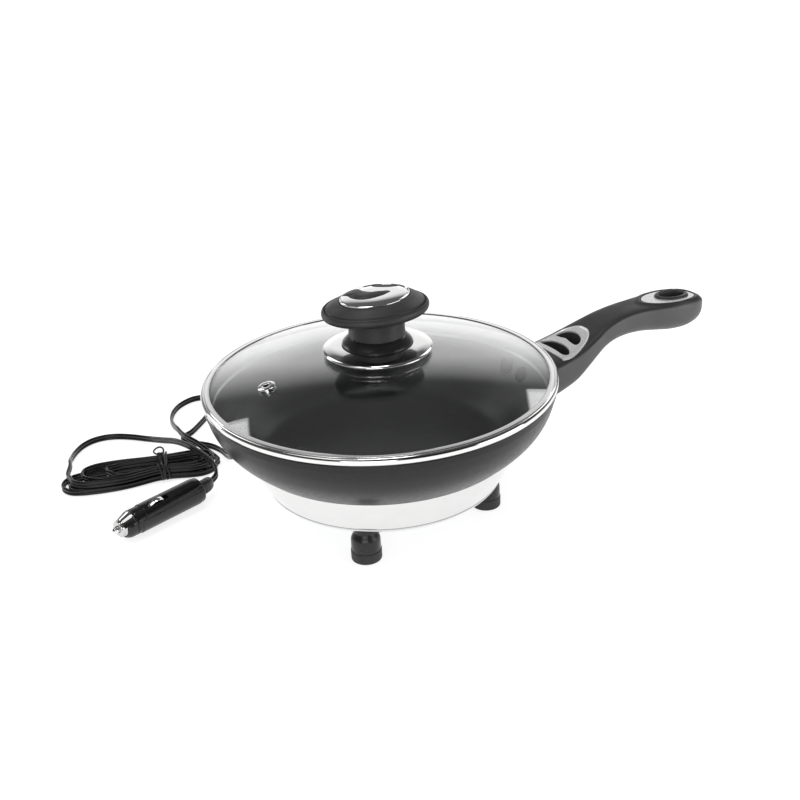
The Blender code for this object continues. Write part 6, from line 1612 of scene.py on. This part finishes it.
# %% [markdown]
# ## Floor and light
# The floor is pale and wide. The camera, mirrors and the glass see it a little lifted, so it meets the
# background with no line while the pan's shadow stays. It is only a stage and not a part of the pan.

# %% Floor
FLOOR_HALF = 6.0
FLOOR_LEVEL = -0.0002
floor_mesh = bpy.data.meshes.new("floor")
floor_corners = [(x * FLOOR_HALF, y * FLOOR_HALF, FLOOR_LEVEL) for x, y in ((-1, -1), (1, -1), (1, 1), (-1, 1))]
floor_mesh.from_pydata(floor_corners, [], [(0, 1, 2, 3)])
floor = new_object("floor", floor_mesh)
floor_material = bpy.data.materials.new("floor_paper")
floor_material.use_nodes = True
floor_mesh.materials.append(floor_material)
paper = Finish(floor_material.node_tree, "Principled BSDF")


def seen_directly(finish):
    """1 for rays from the camera, from a mirror or through glass, and 0 for the rest."""
    total = 0
    for kind in ("Is Camera Ray", "Is Glossy Ray", "Is Transmission Ray"):
        total = finish.node("ShaderNodeLightPath", out=kind) + total
    return finish.node("ShaderNodeClamp", None, {"Value": total})


paper.put(paper.shader, {"Base Color": (0.80, 0.80, 0.80, 1.0), "Roughness": 0.9})
lifted = paper.node("ShaderNodeAddShader", None, {
    0: paper.node("ShaderNodeBsdfDiffuse", None, {"Color": (0.50, 0.50, 0.50, 1.0)}),
    1: paper.node("ShaderNodeEmission", None, {"Strength": 0.76}),
})
plain = Field(paper, paper.shader.outputs[0])
paper.put(paper.tree.nodes["Material Output"], {
    "Surface": paper.node("ShaderNodeMixShader", None, {0: seen_directly(paper), 1: plain, 2: lifted}),
})
print("the floor is", 2 * FLOOR_HALF, "m wide")

# %% [markdown]
# ### The sky
# The sky that mirrors see is one Background shader, and its strength is a field over directions. How far a
# direction goes along an axis is a dot product, and ramps of such products make a soft pattern of light and dark.

# %% Directions in the sky
world = bpy.data.worlds.new("studio")
bpy.context.scene.world = world
world.use_nodes = True
sky = Finish(world.node_tree, "Background")
direction = sky.node("ShaderNodeTexCoord", out="Generated")
AWAY = (0.0872, 0.9962, 0.0)


def along_sky(axis):
    """How far a direction goes along an axis: their dot product, from -1 to 1."""
    return sky.node("ShaderNodeVectorMath", {"operation": "DOT_PRODUCT"}, {0: direction, 1: tuple(axis)}, out="Value")


upwards = sky.node("ShaderNodeSeparateXYZ", None, {"Vector": direction}, out="Z")
away = along_sky(AWAY)
print("the sky's nodes so far:", len(world.node_tree.nodes))

# %% [markdown]
# ### Two soft boxes
# A soft box is a lit rectangle, and one corner of each shows sharp in the glass. A straight edge is where a plane
# through the middle of the sky cuts it, so a product of two steep ramps draws a corner.

# %% Soft boxes
def soft_box(corner, first, second):
    """A bright patch of sky with one sharp corner: 1 on the inner side of both edges that leave the corner and
    within about 14 degrees of its middle."""
    corner, first, second = heading(*corner), heading(*first), heading(*second)
    middle = unit(first + second)
    inside = sky.ramp(along_sky(middle), 0.0, 1.0, math.cos(math.radians(16)), math.cos(math.radians(13)))
    for end in (first, second):
        edge = unit(np.cross(corner, end))
        inside = inside * sky.ramp(along_sky(edge * np.sign(edge @ middle)), 0.0, 1.0, -0.002, 0.006)
    return inside


BOX_STRENGTH = 2.2
boxes = soft_box((92.0, 37.1), (95.4, 33.5), (96.1, 42.8)) + soft_box((37.6, 29.9), (35.7, 24.6), (31.6, 38.3))
print("the sky's nodes with the boxes:", len(world.node_tree.nodes))

# %% [markdown]
# ### What mirrors see
# Mirrors and glass see a studio: white at the horizon behind the pan, dark overhead and darker towards the
# front, and the two boxes. The camera itself sees plain white, and everything else is lit by an even sky.

# %% The mirrored studio
EVEN_STRENGTH = 0.55
by_camera = sky.node("ShaderNodeLightPath", out="Is Camera Ray")
sweep = sky.ramp(away, 0.70, 1.0, 0.10, 0.75)
front_dark = sky.ramp(away, 0.15, 1.0, -0.95, -0.20)
aside = 1.0 - along_sky(heading(63, 25))
overhead = sky.ramp(upwards + aside * 4.1, 1.0, 0.12, 0.48, 0.78)
horizon = sky.ramp(upwards, 0.30, 0.0, 0.10, 0.35)
dimmed = (overhead + horizon) * sweep * front_dark
mirrored = dimmed + boxes * BOX_STRENGTH
seen = mirrored + by_camera * (1.0 - mirrored)
mirror_sky = sky.node("ShaderNodeBackground", None, {"Color": (1.0, 1.0, 1.0, 1.0), "Strength": seen})
sky.put(sky.shader, {"Color": (1.0, 1.0, 1.0, 1.0), "Strength": EVEN_STRENGTH})
even_sky = Field(sky, sky.shader.outputs[0])
sky.put(sky.tree.nodes["World Output"], {
    "Surface": sky.node("ShaderNodeMixShader", None, {0: seen_directly(sky), 1: even_sky, 2: mirror_sky}),
})
print("the sky's nodes in all:", len(world.node_tree.nodes))

# %% [markdown]
# ### The lamps
# Large soft lamps shape what is dark: a key from above the near side, one overhead, a low box in front, a rim
# light behind the left and a fill from the right. Each faces the middle of the pan.

# %% Lamps
MIDDLE = np.array([-0.06, 0.03, 0.08])
LAMPS = {  # name: compass angle, height angle, distance, size, power in watts
    "key": (-170, 62, 1.9, (1.0, 1.0), 4.5),
    "overhead": (62, 85, 1.6, (0.40, 0.40), 3.6),
    "front_box": (-125, 17, 1.7, (0.9, 0.6), 6.0),
    "left_rim": (127, 12, 1.7, (0.5, 0.35), 2.2),
    "right_fill": (-45, 12, 1.5, (0.9, 0.6), 5.0),
}
for name, (azimuth, elevation, distance, size, power) in LAMPS.items():
    lamp = bpy.data.lights.new(name, "AREA")
    lamp.shape, lamp.size, lamp.size_y, lamp.energy = "RECTANGLE", *size, power
    back = heading(azimuth, elevation)
    beside = unit(np.cross(UP, back))
    lamp_place = frame_of(MIDDLE + back * distance, beside, np.cross(back, beside), back)
    new_object(name, lamp).matrix_world = Matrix(lamp_place.tolist())
bpy.context.scene.view_settings.view_transform = "Standard"
print(len(LAMPS), "lamps")
